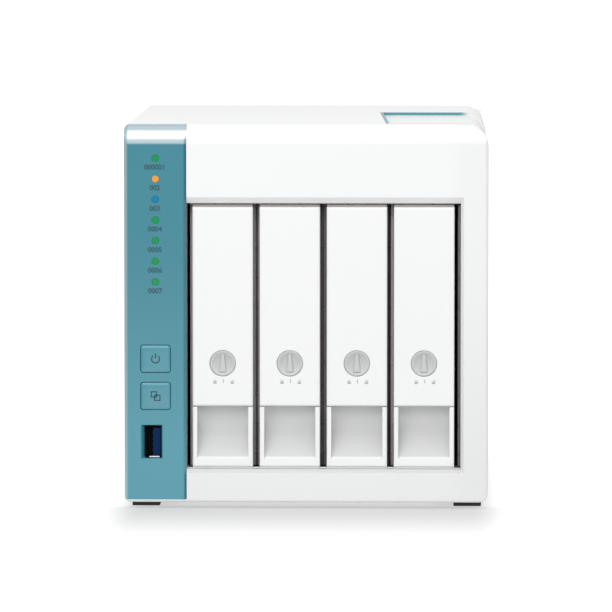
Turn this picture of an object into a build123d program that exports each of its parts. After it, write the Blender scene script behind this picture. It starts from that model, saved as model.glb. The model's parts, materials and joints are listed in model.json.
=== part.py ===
"""Four-bay desktop network attached storage unit, in millimetres.

The unit stands on four feet with its front facing -Y.  X runs to the right as
the front is seen, Z is up, and the origin is on the ground below the middle of
the case.  Four drive trays slide out along -Y.  Each tray has a hinged handle
with a turning lock.  The processor board stands in the column left of the
drive cage, behind the status panel, and a fan at the back draws air past the
drives.
"""
import math
import os

from build123d import *

# ---------------------------------------------------------------- the case
PANEL_W = 27.4          # coloured status panel, left of the bay opening
CHEEK_W = 12.1          # case right of the bays, or of the fan where that is wider
SILL_H = 14.9           # case below the bays
BROW_H = 31.3           # case above the bays, or above the fan where that is taller
FOOT_H = 2.8            # how far the feet hold the case off the ground
TOP_LEFT_R = 2.0        # corner radii of the case, as seen from the front
TOP_RIGHT_R = 9.5
BOTTOM_RIGHT_R = 4.5
BOTTOM_LEFT_R = 2.8
FRONT_TOP_R = 8.5       # roll of the front face into the top
FRONT_SIDE_R = 1.6      # small radius down both front edges
FRONT_LOW_R = 1.0       # small radius along the lower front edge

BEZEL_D = 14.0          # depth of the front mouldings
BEZEL_WALL = 2.4        # wall of the front mouldings
COVER_WALL = 1.6        # wall of the outer cover
SHEET = 1.2             # steel sheet of cage, base and rear panel
COVER_OVERHANG = 1.6    # how far the cover runs past the rear panel
COVER_LIP = 22.0        # width of the turned-in lower edges of the cover
FIT = 0.2               # gap between fixed mating pieces
SLIDE_GAP = 0.4         # gap beside sliding and turning pieces
OVERRUN = 1.0           # how far a cut runs past the face it opens
OVERLAP = 1.0           # how far joined forms of one moulding reach into each other

# --------------------------------------------------------------- the front
PANEL_BEVEL = 1.2       # bevel down the status panel's right edge
PANEL_UP = 1.2          # lip of the white front that shows below the status panel
BAY_BEVEL_TOP = 2.6     # bevels round the bay opening
BAY_BEVEL_SIDE = 1.3
BAY_BEVEL_LOW = 2.2
BAY_BEVEL_D = 2.0
TUNNEL_WALL = 1.5       # wall of the moulded tunnel round the bays
COLUMN_Y = 6.5          # plate behind the status panel, depth from the front
COLUMN_T = 1.5

LED_IN = 13.8           # lamps and keys from the left side
LED_D = 3.0
LED_DROP = 14.6         # first lamp below the top
LED_PITCH = 9.07
LED_COUNT = 7
LED_COLLAR = 0.7        # step that keeps a light pipe behind the panel
LED_CHIP = 1.0          # height of a lamp on the indicator board, and half its length
INDICATOR_SIDE = 1.0    # indicator board from the panel's inner wall

BUTTON_W = 13.0
BUTTON_H = 12.0
BUTTON_R = 1.2
BUTTON_PROUD = 0.4
BUTTON_FLANGE = 1.0     # rim of a button behind the panel
BUTTON_STEM_D = 5.0
BUTTON_TRAVEL = 0.6
KEY_DROP = 33.9         # power key below the last lamp
KEY_PITCH = 16.4        # copy key below the power key
SWITCH_SIZE = 6.0
SWITCH_H = 3.5
SWITCH_TIP_D = 3.4
SWITCH_TIP_H = 0.5

USB_W = 5.7             # socket shell, short side
USB_H = 13.1            # socket shell, long side
USB_L = 14.0
USB_WALL = 0.4
USB_TONGUE_T = 1.8
USB_TONGUE_SET = 1.5    # tongue tip behind the mouth
USB_BLOCK_L = 2.5       # block that closes the back of the shell
PORT_IN = 12.1          # front socket from the left side
PORT_DROP = 20.2        # front socket below the copy key
PORT_BEVEL_W = 1.9      # bevel round the socket's mouth, sides
PORT_BEVEL_H = 0.9      # and ends

INLAY_W_FRONT = 44.8    # corner inlay across the top, front end
INLAY_W_BACK = 48.5     # and back end
INLAY_Y_SET = 1.6       # inlay start behind the bezel seam
INLAY_L = 121.0
INLAY_DROP = 31.0       # how far it comes down the right side
INLAY_DEPTH = 1.6       # depth of its floor below the skin
INLAY_RIM = 1.2
INLAY_T = 1.2

# --------------------------------------------------------------- the trays
BAY_COUNT = 4
TRAY_LEFT = 2.6         # bay opening past the outer trays
TRAY_RIGHT = 2.8
TRAY_LOW = 0.7          # bay opening past the tray fronts
TRAY_HIGH = 1.7
TRAY_GAP = 2.9          # between two tray fronts
TRAY_SET = 1.0          # tray face behind the bezel face
TRAY_FRONT_D = 13.0     # depth of the moulded tray front
TRAY_BACK_T = 2.5       # wall that closes it
TRAY_EDGE_R = 0.9
RECESS_WALL = 2.1       # wall beside the finger recess
RECESS_LIP = 3.7        # lip below the finger recess
RECESS_UP = 26.5        # top of the finger recess over the tray's foot
RAIL_W = 18.0
RAIL_T = 4.0
RAIL_GAP = 0.1          # between rail and drive
RUNNER_W = 6.0
RUNNER_GAP = 0.3        # runner to cage floor and ceiling
RIB_T = 1.2
RIB_H = 3.0
DIVIDER_L = 24.0

HANDLE_GAP = 0.3        # handle to the tray front below it
HANDLE_D = 8.1
HANDLE_WALL = 1.6
HINGE_BELOW_TOP = 4.5
HINGE_BEHIND_FACE = 3.6
HINGE_PIN_D = 2.0
HINGE_PLAY = 0.05
EAR_IN = 3.9            # middle of each hinge ear from the tray's side
EAR_T = 2.0
EAR_R = 1.7
EAR_ROOT_HIGH = 3.0     # root of the ear below the hinge line
EAR_ROOT_LOW = 13.0
EAR_LEAN_DEG = 40.0

LOCK_UP = 45.7          # lock over the tray's foot
LOCK_D = 11.1
LOCK_PROUD = 0.2
LOCK_COLLAR = 1.2
LOCK_STEM_D = 6.0
LOCK_CAM_L = 8.5
LOCK_CAM_W = 4.0
LOCK_CAM_T = 1.4
LOCK_DISH = 1.2
LOCK_BAR_W = 2.2
LOCK_RIM = 0.9

DRIVE_T = 26.1
DRIVE_L = 147.0
DRIVE_W = 101.6
DRIVE_GAP = 3.4         # between two drives
DRIVE_ROOM = 6.45       # tray front past the drive, above and below
DRIVE_SET = 22.5        # drive front behind the tray face
DRIVE_LID_T = 1.1
DRIVE_EDGE = 2.5        # lid set in from the drive's edges
DRIVE_CORNER_R = 3.0
DRIVE_MOTOR_D = 32.0
DRIVE_HOLE_BACK = 28.5  # rear side screw hole from the connector end
DRIVE_HOLE_PITCH = 101.6  # standard side hole spacing
DRIVE_HOLE_UP = 6.35    # screw holes above the circuit board side
DRIVE_HOLE_D = 3.2
CLIP_W = 3.4
CLIP_T = 1.4
CLIP_END = 7.0          # clip past its pegs

SOCKET_W = 42.0
SOCKET_T = 4.6
SOCKET_REACH = 2.4      # socket nose inside the drive
SOCKET_Z_SET = 8.0      # socket above the drive's lower edge
SOCKET_UP = 5.5         # socket middle above the circuit board side
PLUG_GAP = 5.0          # drive end to the backplane

# -------------------------------------------------------------- the inside
BOARD_T = 1.6
STANDOFF_H = 3.0
STANDOFF_D = 5.0
INDICATOR_LOW = 7.2     # indicator board over the foot of the case
INDICATOR_HIGH = 11.0   # and below the top
MAIN_LOW = 4.3          # main board's foot over the bay floor
MAIN_HIGH = 2.0         # and its top over the reset plunger
BOARD_EDGE = 6.0        # screws and windows from a board's edge
MAIN_FRONT_GAP = 6.0    # main board behind the front mouldings
MAIN_BACK_GAP = 2.5     # main board in front of the rear panel

FAN_SIZE = 120.0
FAN_D = 25.0
FAN_ROOM = 12.9         # air between backplane and fan
FAN_WALL = 2.5          # thinnest wall of the fan frame
FAN_HOLE_IN = 7.5       # fan screws from the frame's edges
FAN_HOLE_D = 4.4
FAN_GRIP = 4.0          # depth of the fan screws in the frame
FAN_HUB_D = 40.0
FAN_TIP_GAP = 1.5
FAN_BLADES = 7
FAN_CORNER_R = 5.0
FAN_STRUT_T = 4.0
FAN_STRUT_W = 5.0
FAN_SHAFT_D = 3.0
FAN_HUB_R = 2.0
FAN_HUB_GAP = 0.8
FAN_ROOT_CHORD = 20.0
FAN_TIP_CHORD = 34.0
FAN_ROOT_ANGLE = 48.0
FAN_TIP_ANGLE = 28.0
FAN_SWEEP = 6.0
FAN_CAMBER = 0.09
FAN_BLADE_T = 1.8
GUARD_HOLE = 12.4       # hexagonal hole, across flats
GUARD_WEB = 2.4
GUARD_EDGE = 7.4        # middle of an outer hole from the fan's bore

FOOT_D = 12.3
FOOT_IN = 9.0           # middle of a foot from the side
FOOT_BACK = 17.5        # and from the front or back
FOOT_STEM_D = 4.0
FOOT_CHAMFER = 0.4

CASE_SCREW_SET = 5.0    # rear screws from the inside of the cover
CAGE_FOOT_W = 7.0
CAGE_VENT_ROWS = 5
CAGE_VENT_PITCH = 22.0
CAGE_VENT_L = 110.0
CAGE_VENT_W = 10.0
BASE_RISE = 8.0         # turned-up edges of the base plate
BASE_VENT_COUNT = 9
BASE_VENT_PITCH = 12.0
BASE_VENT_L = 34.0
BASE_VENT_W = 5.0
BASE_VENT_ROWS = 3
BASE_VENT_STEP = 50.0
VENT_ROWS = 2
VENT_COUNT = 12
VENT_PITCH = 8.0
VENT_W = 3.0
VENT_L = 24.0
VENT_ROW_GAP = 6.0
VENT_UP = 37.2          # lower row over the foot of the case

POWER_UP = 13.0         # power inlet over the main board's foot
NETWORK_UP = 23.0       # first network socket over the power inlet
NETWORK_PITCH = 21.0
REAR_USB_UP = 21.0      # first rear USB socket over the last network socket
REAR_USB_PITCH = 19.0
RESET_UP = 12.0         # reset plunger over the last USB socket
NETWORK_W = 16.0
NETWORK_OUT = 13.5      # height of a network jack over its board
NETWORK_L = 21.0
NETWORK_WALL = 1.2
PLUG_W = 11.9
PLUG_H = 6.9
PLUG_L = 12.0
PLUG_LATCH_W = 6.3
PLUG_LATCH_H = 2.6
USB_STAND = 0.6         # socket shell over its board
USB_MOUTH_SET = 1.6     # front socket mouth behind the panel's face
POWER_W = 11.0
POWER_OUT = 11.0
POWER_L = 14.0
POWER_DEPTH = 10.0
POWER_BORE = 6.4
POWER_PIN_D = 2.0
RESET_OUT = 3.6         # reset plunger off the main board
RESET_D = 2.4
RESET_TRAVEL = 0.5
RESET_COLLAR = 0.8
SECURITY_IN = 12.0      # lock slot from the side
SECURITY_UP = 15.2      # and over the foot of the case
SECURITY_W = 3.0
SECURITY_H = 7.0
TAB_UP = 46.0           # backplane tab over the main board's foot
TAB_H = 40.0
TAB_REACH = 6.0
TAB_WALL = 2.5
LUG_H = 8.0
BACKPLANE_WINDOW = 18.0
BUTTON_PLAY = 0.05

CHIP_H = 2.0
SINK_SIZE = 40.0
SINK_BACK = 69.5        # heat sink from the main board's front edge
SINK_UP = 52.0          # and over its foot
SINK_BASE = 2.5
SINK_H = 12.0
SINK_FINS = 9
SINK_FIN_T = 1.2
MEMORY_GAP = 3.0
MEMORY_T = 1.0
MEMORY_AHEAD = 42.0     # memory card ahead of the backplane
MEMORY_W = 30.0
MEMORY_L = 67.6
MEMORY_UP = 54.0        # its middle over the main board's foot
MEMORY_CHIPS = 4
MEMORY_CHIP_STEP = 1.15
MEMORY_SOCKET_W = 4.0
# small chips of the main board: from its front edge, over its foot, side and height
BOARD_CHIPS = ((27.5, 30.0, 14.0, 1.4), (27.5, 82.0, 12.0, 1.4), (165.5, 26.0, 10.0, 1.2))
PROCESSOR_SIZE = 24.0

SCREW_D = 3.0
SCREW_HEAD_D = 6.0
SCREW_HEAD_H = 2.0
SMALL_SIDES = 8         # sides of hidden posts, shanks and their holes
HEX_SIDES = 6

# ------------------------------------------------------------ worked out
TRAY_PITCH = DRIVE_T + DRIVE_GAP
TRAY_W = TRAY_PITCH - TRAY_GAP
TRAY_H = DRIVE_W + 2 * DRIVE_ROOM
BAY_W = TRAY_LEFT + BAY_COUNT * TRAY_PITCH - TRAY_GAP + TRAY_RIGHT
BAY_H = TRAY_LOW + TRAY_H + TRAY_HIGH
CORE_W = max(BAY_W, FAN_SIZE)
CORE_H = max(BAY_H, FAN_SIZE)
UNIT_W = PANEL_W + CORE_W + CHEEK_W
UNIT_H = FOOT_H + SILL_H + CORE_H + BROW_H
UNIT_D = (TRAY_SET + DRIVE_SET + DRIVE_L + PLUG_GAP + BOARD_T + FAN_ROOM + FAN_D
          + 2 * SHEET + COVER_OVERHANG)
HALF_W = UNIT_W / 2
FRONT_Y = -UNIT_D / 2
BACK_Y = UNIT_D / 2
SEAM_Y = FRONT_Y + BEZEL_D
BAY_X0 = -HALF_W + PANEL_W
BAY_X1 = BAY_X0 + BAY_W
BAY_Z0 = FOOT_H + SILL_H
BAY_Z1 = BAY_Z0 + BAY_H
REAR_Y1 = BACK_Y - COVER_OVERHANG
REAR_Y0 = REAR_Y1 - SHEET
GUARD_Y0 = REAR_Y0 - SHEET
FAN_Y0 = GUARD_Y0 - FAN_D
FAN_HUB_END = GUARD_Y0 - FAN_STRUT_T - FAN_HUB_GAP
FAN_BORE = FAN_SIZE - 2 * FAN_WALL
FAN_HOLE_PITCH = FAN_SIZE - 2 * FAN_HOLE_IN
FAN_X = BAY_X0 + CORE_W / 2
FAN_Z = BAY_Z0 + CORE_H / 2
BASE_Z0 = FOOT_H + COVER_WALL
BASE_Z1 = BASE_Z0 + SHEET
TRAY_Y0 = FRONT_Y + TRAY_SET
TRAY_Y1 = TRAY_Y0 + TRAY_FRONT_D
TRAY_BACK_Y = TRAY_Y1 - TRAY_BACK_T
TRAY_Z0 = BAY_Z0 + TRAY_LOW
TRAY_Z1 = TRAY_Z0 + TRAY_H
RECESS_W = TRAY_W - 2 * RECESS_WALL
RECESS_TOP_Z = TRAY_Z0 + RECESS_UP
LOCK_Z = TRAY_Z0 + LOCK_UP
EAR_X = TRAY_W / 2 - EAR_IN
HINGE_Y = TRAY_Y0 + HINGE_BEHIND_FACE
HINGE_Z = TRAY_Z1 - HINGE_BELOW_TOP
HANDLE_Z0 = RECESS_TOP_Z + HANDLE_GAP
HANDLE_Y1 = TRAY_Y0 + HANDLE_D
DRIVE_Y0 = TRAY_Y0 + DRIVE_SET
DRIVE_Y1 = DRIVE_Y0 + DRIVE_L
DRIVE_Z0 = TRAY_Z0 + (TRAY_H - DRIVE_W) / 2
DRIVE_Z1 = DRIVE_Z0 + DRIVE_W
BACKPLANE_Y0 = DRIVE_Y1 + PLUG_GAP
BACKPLANE_Y1 = BACKPLANE_Y0 + BOARD_T
CAGE_X0 = BAY_X0 - SHEET
CAGE_X1 = BAY_X1 + SHEET
CAGE_Z0 = BAY_Z0 - SHEET
CAGE_Z1 = BAY_Z1 + SHEET
COLUMN_Y0 = FRONT_Y + COLUMN_Y
COLUMN_Y1 = COLUMN_Y0 + COLUMN_T
INDICATOR_Y1 = SEAM_Y - FIT
INDICATOR_Y0 = INDICATOR_Y1 - BOARD_T
MAIN_X1 = CAGE_X0 - STANDOFF_H
MAIN_X0 = MAIN_X1 - BOARD_T
MAIN_Y0 = SEAM_Y + MAIN_FRONT_GAP
MAIN_Y1 = REAR_Y0 - MAIN_BACK_GAP
MAIN_Z0 = BAY_Z0 + MAIN_LOW
INDICATOR_Z0 = FOOT_H + INDICATOR_LOW
INDICATOR_Z1 = UNIT_H - INDICATOR_HIGH
TRAY_XS = [BAY_X0 + TRAY_LEFT + TRAY_W / 2 + TRAY_PITCH * bay for bay in range(BAY_COUNT)]
LED_X = LED_IN - HALF_W
LED_ZS = [UNIT_H - LED_DROP - LED_PITCH * lamp for lamp in range(LED_COUNT)]
POWER_Z = LED_ZS[-1] - KEY_DROP
COPY_Z = POWER_Z - KEY_PITCH
FRONT_USB_X = PORT_IN - HALF_W
FRONT_USB_Z = COPY_Z - PORT_DROP
FOOT_X = HALF_W - FOOT_IN
FOOT_Y = BACK_Y - FOOT_BACK
FOOT_PLACES = [(x, y) for x in (-FOOT_X, FOOT_X) for y in (-FOOT_Y, FOOT_Y)]
POWER_IN_Z = MAIN_Z0 + POWER_UP
NETWORK_ZS = [POWER_IN_Z + NETWORK_UP, POWER_IN_Z + NETWORK_UP + NETWORK_PITCH]
REAR_USB_ZS = [NETWORK_ZS[-1] + REAR_USB_UP, NETWORK_ZS[-1] + REAR_USB_UP + REAR_USB_PITCH]
RESET_X = MAIN_X0 - RESET_OUT
RESET_Z = REAR_USB_ZS[-1] + RESET_UP
MAIN_Z1 = RESET_Z + MAIN_HIGH
SECURITY_X = SECURITY_IN - HALF_W
SECURITY_Z = FOOT_H + SECURITY_UP
TAB_Z0 = MAIN_Z0 + TAB_UP
TAB_Z1 = TAB_Z0 + TAB_H
SINK_Y = MAIN_Y0 + SINK_BACK
SINK_Z = MAIN_Z0 + SINK_UP
MEMORY_Y = BACKPLANE_Y0 - MEMORY_AHEAD
MEMORY_Z = MAIN_Z0 + MEMORY_UP


# ---------------------------------------------------------------- helpers
def block(x0, x1, y0, y1, z0, z1):
    """Box between two opposite corners."""
    middle = Pos((x0 + x1) / 2, (y0 + y1) / 2, (z0 + z1) / 2)
    return middle * Box(x1 - x0, y1 - y0, z1 - z0)


def bar_x(y, z, x0, x1, diameter):
    """Round bar along X."""
    return Pos((x0 + x1) / 2, y, z) * Rot(0, 90, 0) * Cylinder(diameter / 2, x1 - x0)


def bar_y(x, z, y0, y1, diameter):
    """Round bar along Y."""
    return Pos(x, (y0 + y1) / 2, z) * Rot(90, 0, 0) * Cylinder(diameter / 2, y1 - y0)


def bar_z(x, y, z0, z1, diameter):
    """Round bar along Z."""
    return Pos(x, y, (z0 + z1) / 2) * Cylinder(diameter / 2, z1 - z0)


def prism_x(face, x0, x1):
    """Section drawn in Y and Z, extruded from x0 to x1."""
    return extrude(Plane.YZ.offset(x0) * face, x1 - x0)


def prism_y(face, y0, y1):
    """Section drawn in X and Z, extruded from y0 to y1."""
    return extrude(Plane.XZ.offset(-y0) * face, y0 - y1)


def prism_z(face, z0, z1):
    """Section drawn in X and Y, extruded from z0 to z1."""
    return extrude(Plane.XY.offset(z0) * face, z1 - z0)


def small_x(y, z, x0, x1, diameter):
    """Hidden post, shank or hole along X, with few sides."""
    return prism_x(Pos(y, z) * RegularPolygon(diameter / 2, SMALL_SIDES), x0, x1)


def small_y(x, z, y0, y1, diameter):
    """Hidden post, shank or hole along Y, with few sides."""
    return prism_y(Pos(x, z) * RegularPolygon(diameter / 2, SMALL_SIDES), y0, y1)


def small_z(x, y, z0, z1, diameter):
    """Hidden post, shank or hole along Z, with few sides."""
    return prism_z(Pos(x, y) * RegularPolygon(diameter / 2, SMALL_SIDES), z0, z1)


def framed(x0, x1, y0, y1, corners):
    """Flat rectangle; corners lists (x, y, radius) for those that are rounded."""
    face = Pos((x0 + x1) / 2, (y0 + y1) / 2) * Rectangle(x1 - x0, y1 - y0)
    for x, y, radius in corners:
        corner = face.vertices().sort_by_distance((x, y, 0))[0]
        face = fillet(corner, radius)
    return face


def rounded_tile(x, z, width, height, radius):
    """Rounded rectangle about a middle point."""
    return Pos(x, z) * RectangleRounded(width, height, radius)


def group(pieces):
    """Several separate solids of one node."""
    return Compound([solid for piece in pieces for solid in piece.solids()])


def copies(piece, places):
    """The same piece at several places, as one node."""
    return group([Pos(*place) * piece for place in places])


# --------------------------------------------------------------- the case
def case_section(inset):
    """Section of the case in X and Z, moved in by inset all round."""
    left, right = inset - HALF_W, HALF_W - inset
    low, high = FOOT_H + inset, UNIT_H - inset
    corners = [(left, high, TOP_LEFT_R), (right, high, TOP_RIGHT_R),
               (right, low, BOTTOM_RIGHT_R), (left, low, BOTTOM_LEFT_R)]
    rounded = [(x, z, r - inset) for x, z, r in corners if r > inset]
    return framed(left, right, low, high, rounded)


def front_form(inset):
    """Front moulding as a full block, its skin moved in by inset."""
    front = FRONT_Y + inset
    left, right = inset - HALF_W, HALF_W - inset
    low, high = FOOT_H + inset, UNIT_H - inset
    side_corners = [(front, high, FRONT_TOP_R), (front, low, FRONT_LOW_R)]
    side = framed(front, SEAM_Y, low, high,
                  [(y, z, r - inset) for y, z, r in side_corners if r > inset])
    plan_corners = [(left, front, FRONT_SIDE_R), (right, front, FRONT_SIDE_R)]
    plan = framed(left, right, front, SEAM_Y,
                  [(x, y, r - inset) for x, y, r in plan_corners if r > inset])
    return (prism_y(case_section(inset), front, SEAM_Y)
            & prism_x(side, left, right)
            & prism_z(plan, low, high))


def front_skin():
    """Hollow front moulding, open at the back."""
    return front_form(0) - front_form(BEZEL_WALL)


def outer_cover():
    """Cover that wraps the top and both sides, with its lower edges turned in."""
    skin = case_section(0) - case_section(COVER_WALL)
    cover = prism_y(skin, SEAM_Y, BACK_Y)
    mouth = HALF_W - COVER_LIP
    cover -= block(-mouth, mouth, SEAM_Y, BACK_Y, 0, BASE_Z0)
    cover -= inlay_window(FIT / 2)
    for x, y in FOOT_PLACES:
        cover -= small_z(x, y, 0, BASE_Z1, FOOT_STEM_D)
    return cover - side_vents()


def side_vents():
    """Slots in both side walls, low down beside the drives."""
    slots = []
    for row in range(VENT_ROWS):
        z = FOOT_H + VENT_UP + row * (VENT_L + VENT_ROW_GAP)
        for column in range(VENT_COUNT):
            y = (SEAM_Y + BACK_Y) / 2 + (column - (VENT_COUNT - 1) / 2) * VENT_PITCH
            slots.append(block(-UNIT_W, UNIT_W, y - VENT_W / 2, y + VENT_W / 2,
                               z - VENT_L / 2, z + VENT_L / 2))
    return group(slots)


def inlay_window(grow):
    """Column over the corner inlay's outline, grown by a clearance."""
    front, back = SEAM_Y + INLAY_Y_SET - grow, SEAM_Y + INLAY_Y_SET + INLAY_L + grow
    left_front, left_back = HALF_W - INLAY_W_FRONT - grow, HALF_W - INLAY_W_BACK - grow
    outline = Polyline((left_front, front), (UNIT_W, front), (UNIT_W, back),
                       (left_back, back), close=True)
    low = UNIT_H - INLAY_DROP - grow
    return prism_z(make_face(outline), low, 2 * UNIT_H)


def accent_inlay():
    """Coloured corner piece: a sunk floor with a rim up to the cover's skin."""
    depth = INLAY_DEPTH + INLAY_T
    shell = prism_y(case_section(0) - case_section(depth), SEAM_Y, BACK_Y)
    floor = prism_y(case_section(0) - case_section(INLAY_DEPTH), SEAM_Y, BACK_Y)
    return (shell & inlay_window(-FIT / 2)) - (floor & inlay_window(-INLAY_RIM))


def bay_mouth():
    """Bevelled opening for the trays, cut right through the front."""
    mouth = block(BAY_X0, BAY_X1, FRONT_Y - OVERRUN, SEAM_Y + OVERRUN, BAY_Z0, BAY_Z1)
    outer = framed(BAY_X0, BAY_X1 + BAY_BEVEL_SIDE, BAY_Z0 - BAY_BEVEL_LOW,
                   BAY_Z1 + BAY_BEVEL_TOP, [])
    inner = framed(BAY_X0, BAY_X1, BAY_Z0, BAY_Z1, [])
    bevel = loft([Plane.XZ.offset(-FRONT_Y) * outer,
                  Plane.XZ.offset(-FRONT_Y - BAY_BEVEL_D) * inner])
    return mouth + bevel


def panel_space():
    """Part of the front moulding that is the status panel."""
    return block(-UNIT_W, BAY_X0, FRONT_Y - OVERRUN, SEAM_Y + OVERRUN,
                 FOOT_H + PANEL_UP, 2 * UNIT_H)


def front_bezel():
    """White front frame with the bay tunnel and the plate behind the panel."""
    frame = front_skin() - panel_space()
    tunnel_y0 = FRONT_Y + BEZEL_WALL
    frame += block(BAY_X0 - TUNNEL_WALL, BAY_X1 + TUNNEL_WALL, tunnel_y0, SEAM_Y,
                   BAY_Z0 - TUNNEL_WALL, BAY_Z1 + TUNNEL_WALL)
    plate_x0 = BEZEL_WALL + FIT - HALF_W
    plate_z0 = FOOT_H + BEZEL_WALL + FIT
    plate_z1 = UNIT_H - FRONT_TOP_R
    frame += block(plate_x0, BAY_X0, COLUMN_Y0, COLUMN_Y1, plate_z0, plate_z1)
    for z in (INDICATOR_Z0 + BOARD_EDGE, INDICATOR_Z1 - BOARD_EDGE):
        for x in (plate_x0 + BOARD_EDGE, BAY_X0 - TUNNEL_WALL - BOARD_EDGE):
            frame += small_y(x, z, COLUMN_Y1, INDICATOR_Y0, STANDOFF_D)
    frame -= bay_mouth()
    frame -= block(LED_X - LED_D, LED_X + LED_D, COLUMN_Y0, COLUMN_Y1,
                   LED_ZS[-1] - LED_D, LED_ZS[0] + LED_D)
    for z in (POWER_Z, COPY_Z):
        frame -= small_y(LED_X, z, COLUMN_Y0, COLUMN_Y1, BUTTON_STEM_D + 2 * SLIDE_GAP)
    return frame - block(FRONT_USB_X - USB_W / 2 - FIT, FRONT_USB_X + USB_W / 2 + FIT,
                         COLUMN_Y0, COLUMN_Y1,
                         FRONT_USB_Z - USB_H / 2 - FIT, FRONT_USB_Z + USB_H / 2 + FIT)


def status_panel():
    """Coloured strip down the left of the front, rolled over the top."""
    panel = front_skin() & panel_space()
    bevel = Polyline((BAY_X0, FRONT_Y), (BAY_X0 - PANEL_BEVEL, FRONT_Y),
                     (BAY_X0, FRONT_Y + PANEL_BEVEL), close=True)
    panel -= prism_z(make_face(bevel), 0, UNIT_H)
    inner_y = FRONT_Y + BEZEL_WALL
    for z in LED_ZS:
        panel -= bar_y(LED_X, z, FRONT_Y - OVERRUN, inner_y, LED_D + FIT)
    hole_w, hole_h = BUTTON_W + SLIDE_GAP, BUTTON_H + SLIDE_GAP
    for z in (POWER_Z, COPY_Z):
        hole = rounded_tile(LED_X, z, hole_w, hole_h, BUTTON_R + SLIDE_GAP / 2)
        panel -= prism_y(hole, FRONT_Y - OVERRUN, inner_y)
    middle = Pos(FRONT_USB_X, FRONT_USB_Z)
    mouth = middle * Rectangle(USB_W + 2 * PORT_BEVEL_W, USB_H + 2 * PORT_BEVEL_H)
    throat = middle * Rectangle(USB_W + 2 * FIT, USB_H + 2 * FIT)
    return panel - loft([Plane.XZ.offset(-FRONT_Y) * mouth, Plane.XZ.offset(-inner_y) * throat])


def light_pipe(z):
    """Clear rod: a round end in the panel, a square collar and an eight-sided rear."""
    collar_y = FRONT_Y + BEZEL_WALL
    half = LED_D / 2 + LED_COLLAR
    end = bar_y(LED_X, z, FRONT_Y, collar_y, LED_D)
    collar = block(LED_X - half, LED_X + half, collar_y, collar_y + LED_COLLAR,
                   z - half, z + half)
    return end + collar + small_y(LED_X, z, collar_y + LED_COLLAR,
                                  INDICATOR_Y0 - LED_CHIP, LED_D)


def push_button(z):
    """Square key with a rim behind the panel and a stem to its switch."""
    inner_y = FRONT_Y + BEZEL_WALL
    cap = prism_y(rounded_tile(LED_X, z, BUTTON_W, BUTTON_H, BUTTON_R),
                  FRONT_Y - BUTTON_PROUD, inner_y + BUTTON_FLANGE)
    cap = chamfer(cap.faces().sort_by(Axis.Y)[0].edges(), BUTTON_PROUD * 3 / 4)
    rim = Pos(LED_X, z) * Rectangle(BUTTON_W + 2 * BUTTON_FLANGE, BUTTON_H + 2 * BUTTON_FLANGE)
    key = cap + prism_y(rim, inner_y + BUTTON_PLAY, inner_y + BUTTON_FLANGE)
    stem_y = INDICATOR_Y0 - SWITCH_H - SWITCH_TIP_H - BUTTON_TRAVEL - SLIDE_GAP / 2
    return key + small_y(LED_X, z, inner_y, stem_y, BUTTON_STEM_D)


def button_switch(z):
    """Push switch on the indicator board behind one key."""
    body_y = INDICATOR_Y0 - SWITCH_H
    half = SWITCH_SIZE / 2
    body = block(LED_X - half, LED_X + half, body_y, INDICATOR_Y0, z - half, z + half)
    return body + small_y(LED_X, z, body_y - SWITCH_TIP_H, body_y, SWITCH_TIP_D)


def indicator_board():
    """Circuit board behind the status panel, with a lamp for each light pipe."""
    board = block(BEZEL_WALL + INDICATOR_SIDE - HALF_W, BAY_X0 - TUNNEL_WALL - FIT,
                  INDICATOR_Y0, INDICATOR_Y1, INDICATOR_Z0, INDICATOR_Z1)
    for z in LED_ZS:
        board += block(LED_X - LED_D / 2, LED_X + LED_D / 2,
                       INDICATOR_Y0 - LED_CHIP, INDICATOR_Y0,
                       z - LED_CHIP, z + LED_CHIP)
    return board - block(FRONT_USB_X - USB_W / 2, FRONT_USB_X + USB_W / 2,
                         INDICATOR_Y0, INDICATOR_Y1,
                         FRONT_USB_Z - USB_H / 2, FRONT_USB_Z + USB_H / 2)


def usb_shell():
    """Steel shell of one socket, mouth at y = 0, reaching back along +Y."""
    shell = block(-USB_W / 2, USB_W / 2, 0, USB_L, -USB_H / 2, USB_H / 2)
    hole_w, hole_h = USB_W / 2 - USB_WALL, USB_H / 2 - USB_WALL
    return shell - block(-hole_w, hole_w, 0, USB_L, -hole_h, hole_h)


def usb_tongue():
    """Contact tongue of one socket and the block that closes its shell."""
    hole_w, hole_h = USB_W / 2 - USB_WALL, USB_H / 2 - USB_WALL
    tongue = block(FIT, FIT + USB_TONGUE_T, USB_TONGUE_SET, USB_L, FIT * 3 - hole_h,
                   hole_h - FIT * 3)
    return tongue + block(-hole_w, hole_w, USB_L - USB_BLOCK_L, USB_L, -hole_h, hole_h)


# -------------------------------------------------------------- the trays
def finger_scoop():
    """Space of the finger recess: a hollow that deepens behind the handle."""
    high = RECESS_TOP_Z + OVERRUN
    low = TRAY_Z0 + RECESS_LIP
    drop = RECESS_TOP_Z - low
    depth = TRAY_BACK_Y - TRAY_Y0
    radius = (drop ** 2 + depth ** 2) / (2 * depth)
    half_turn = math.asin(drop / radius) / 2
    bow = Vector(TRAY_BACK_Y - radius + radius * math.cos(half_turn),
                 RECESS_TOP_Z - radius * math.sin(half_turn))
    curve = ThreePointArc((TRAY_Y0, low), bow, (TRAY_BACK_Y, RECESS_TOP_Z))
    rest = Polyline((TRAY_BACK_Y, RECESS_TOP_Z), (TRAY_BACK_Y, high),
                    (TRAY_Y0 - OVERRUN, high), (TRAY_Y0 - OVERRUN, low), (TRAY_Y0, low))
    return prism_x(make_face(curve + rest), -RECESS_W / 2, RECESS_W / 2)


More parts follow.
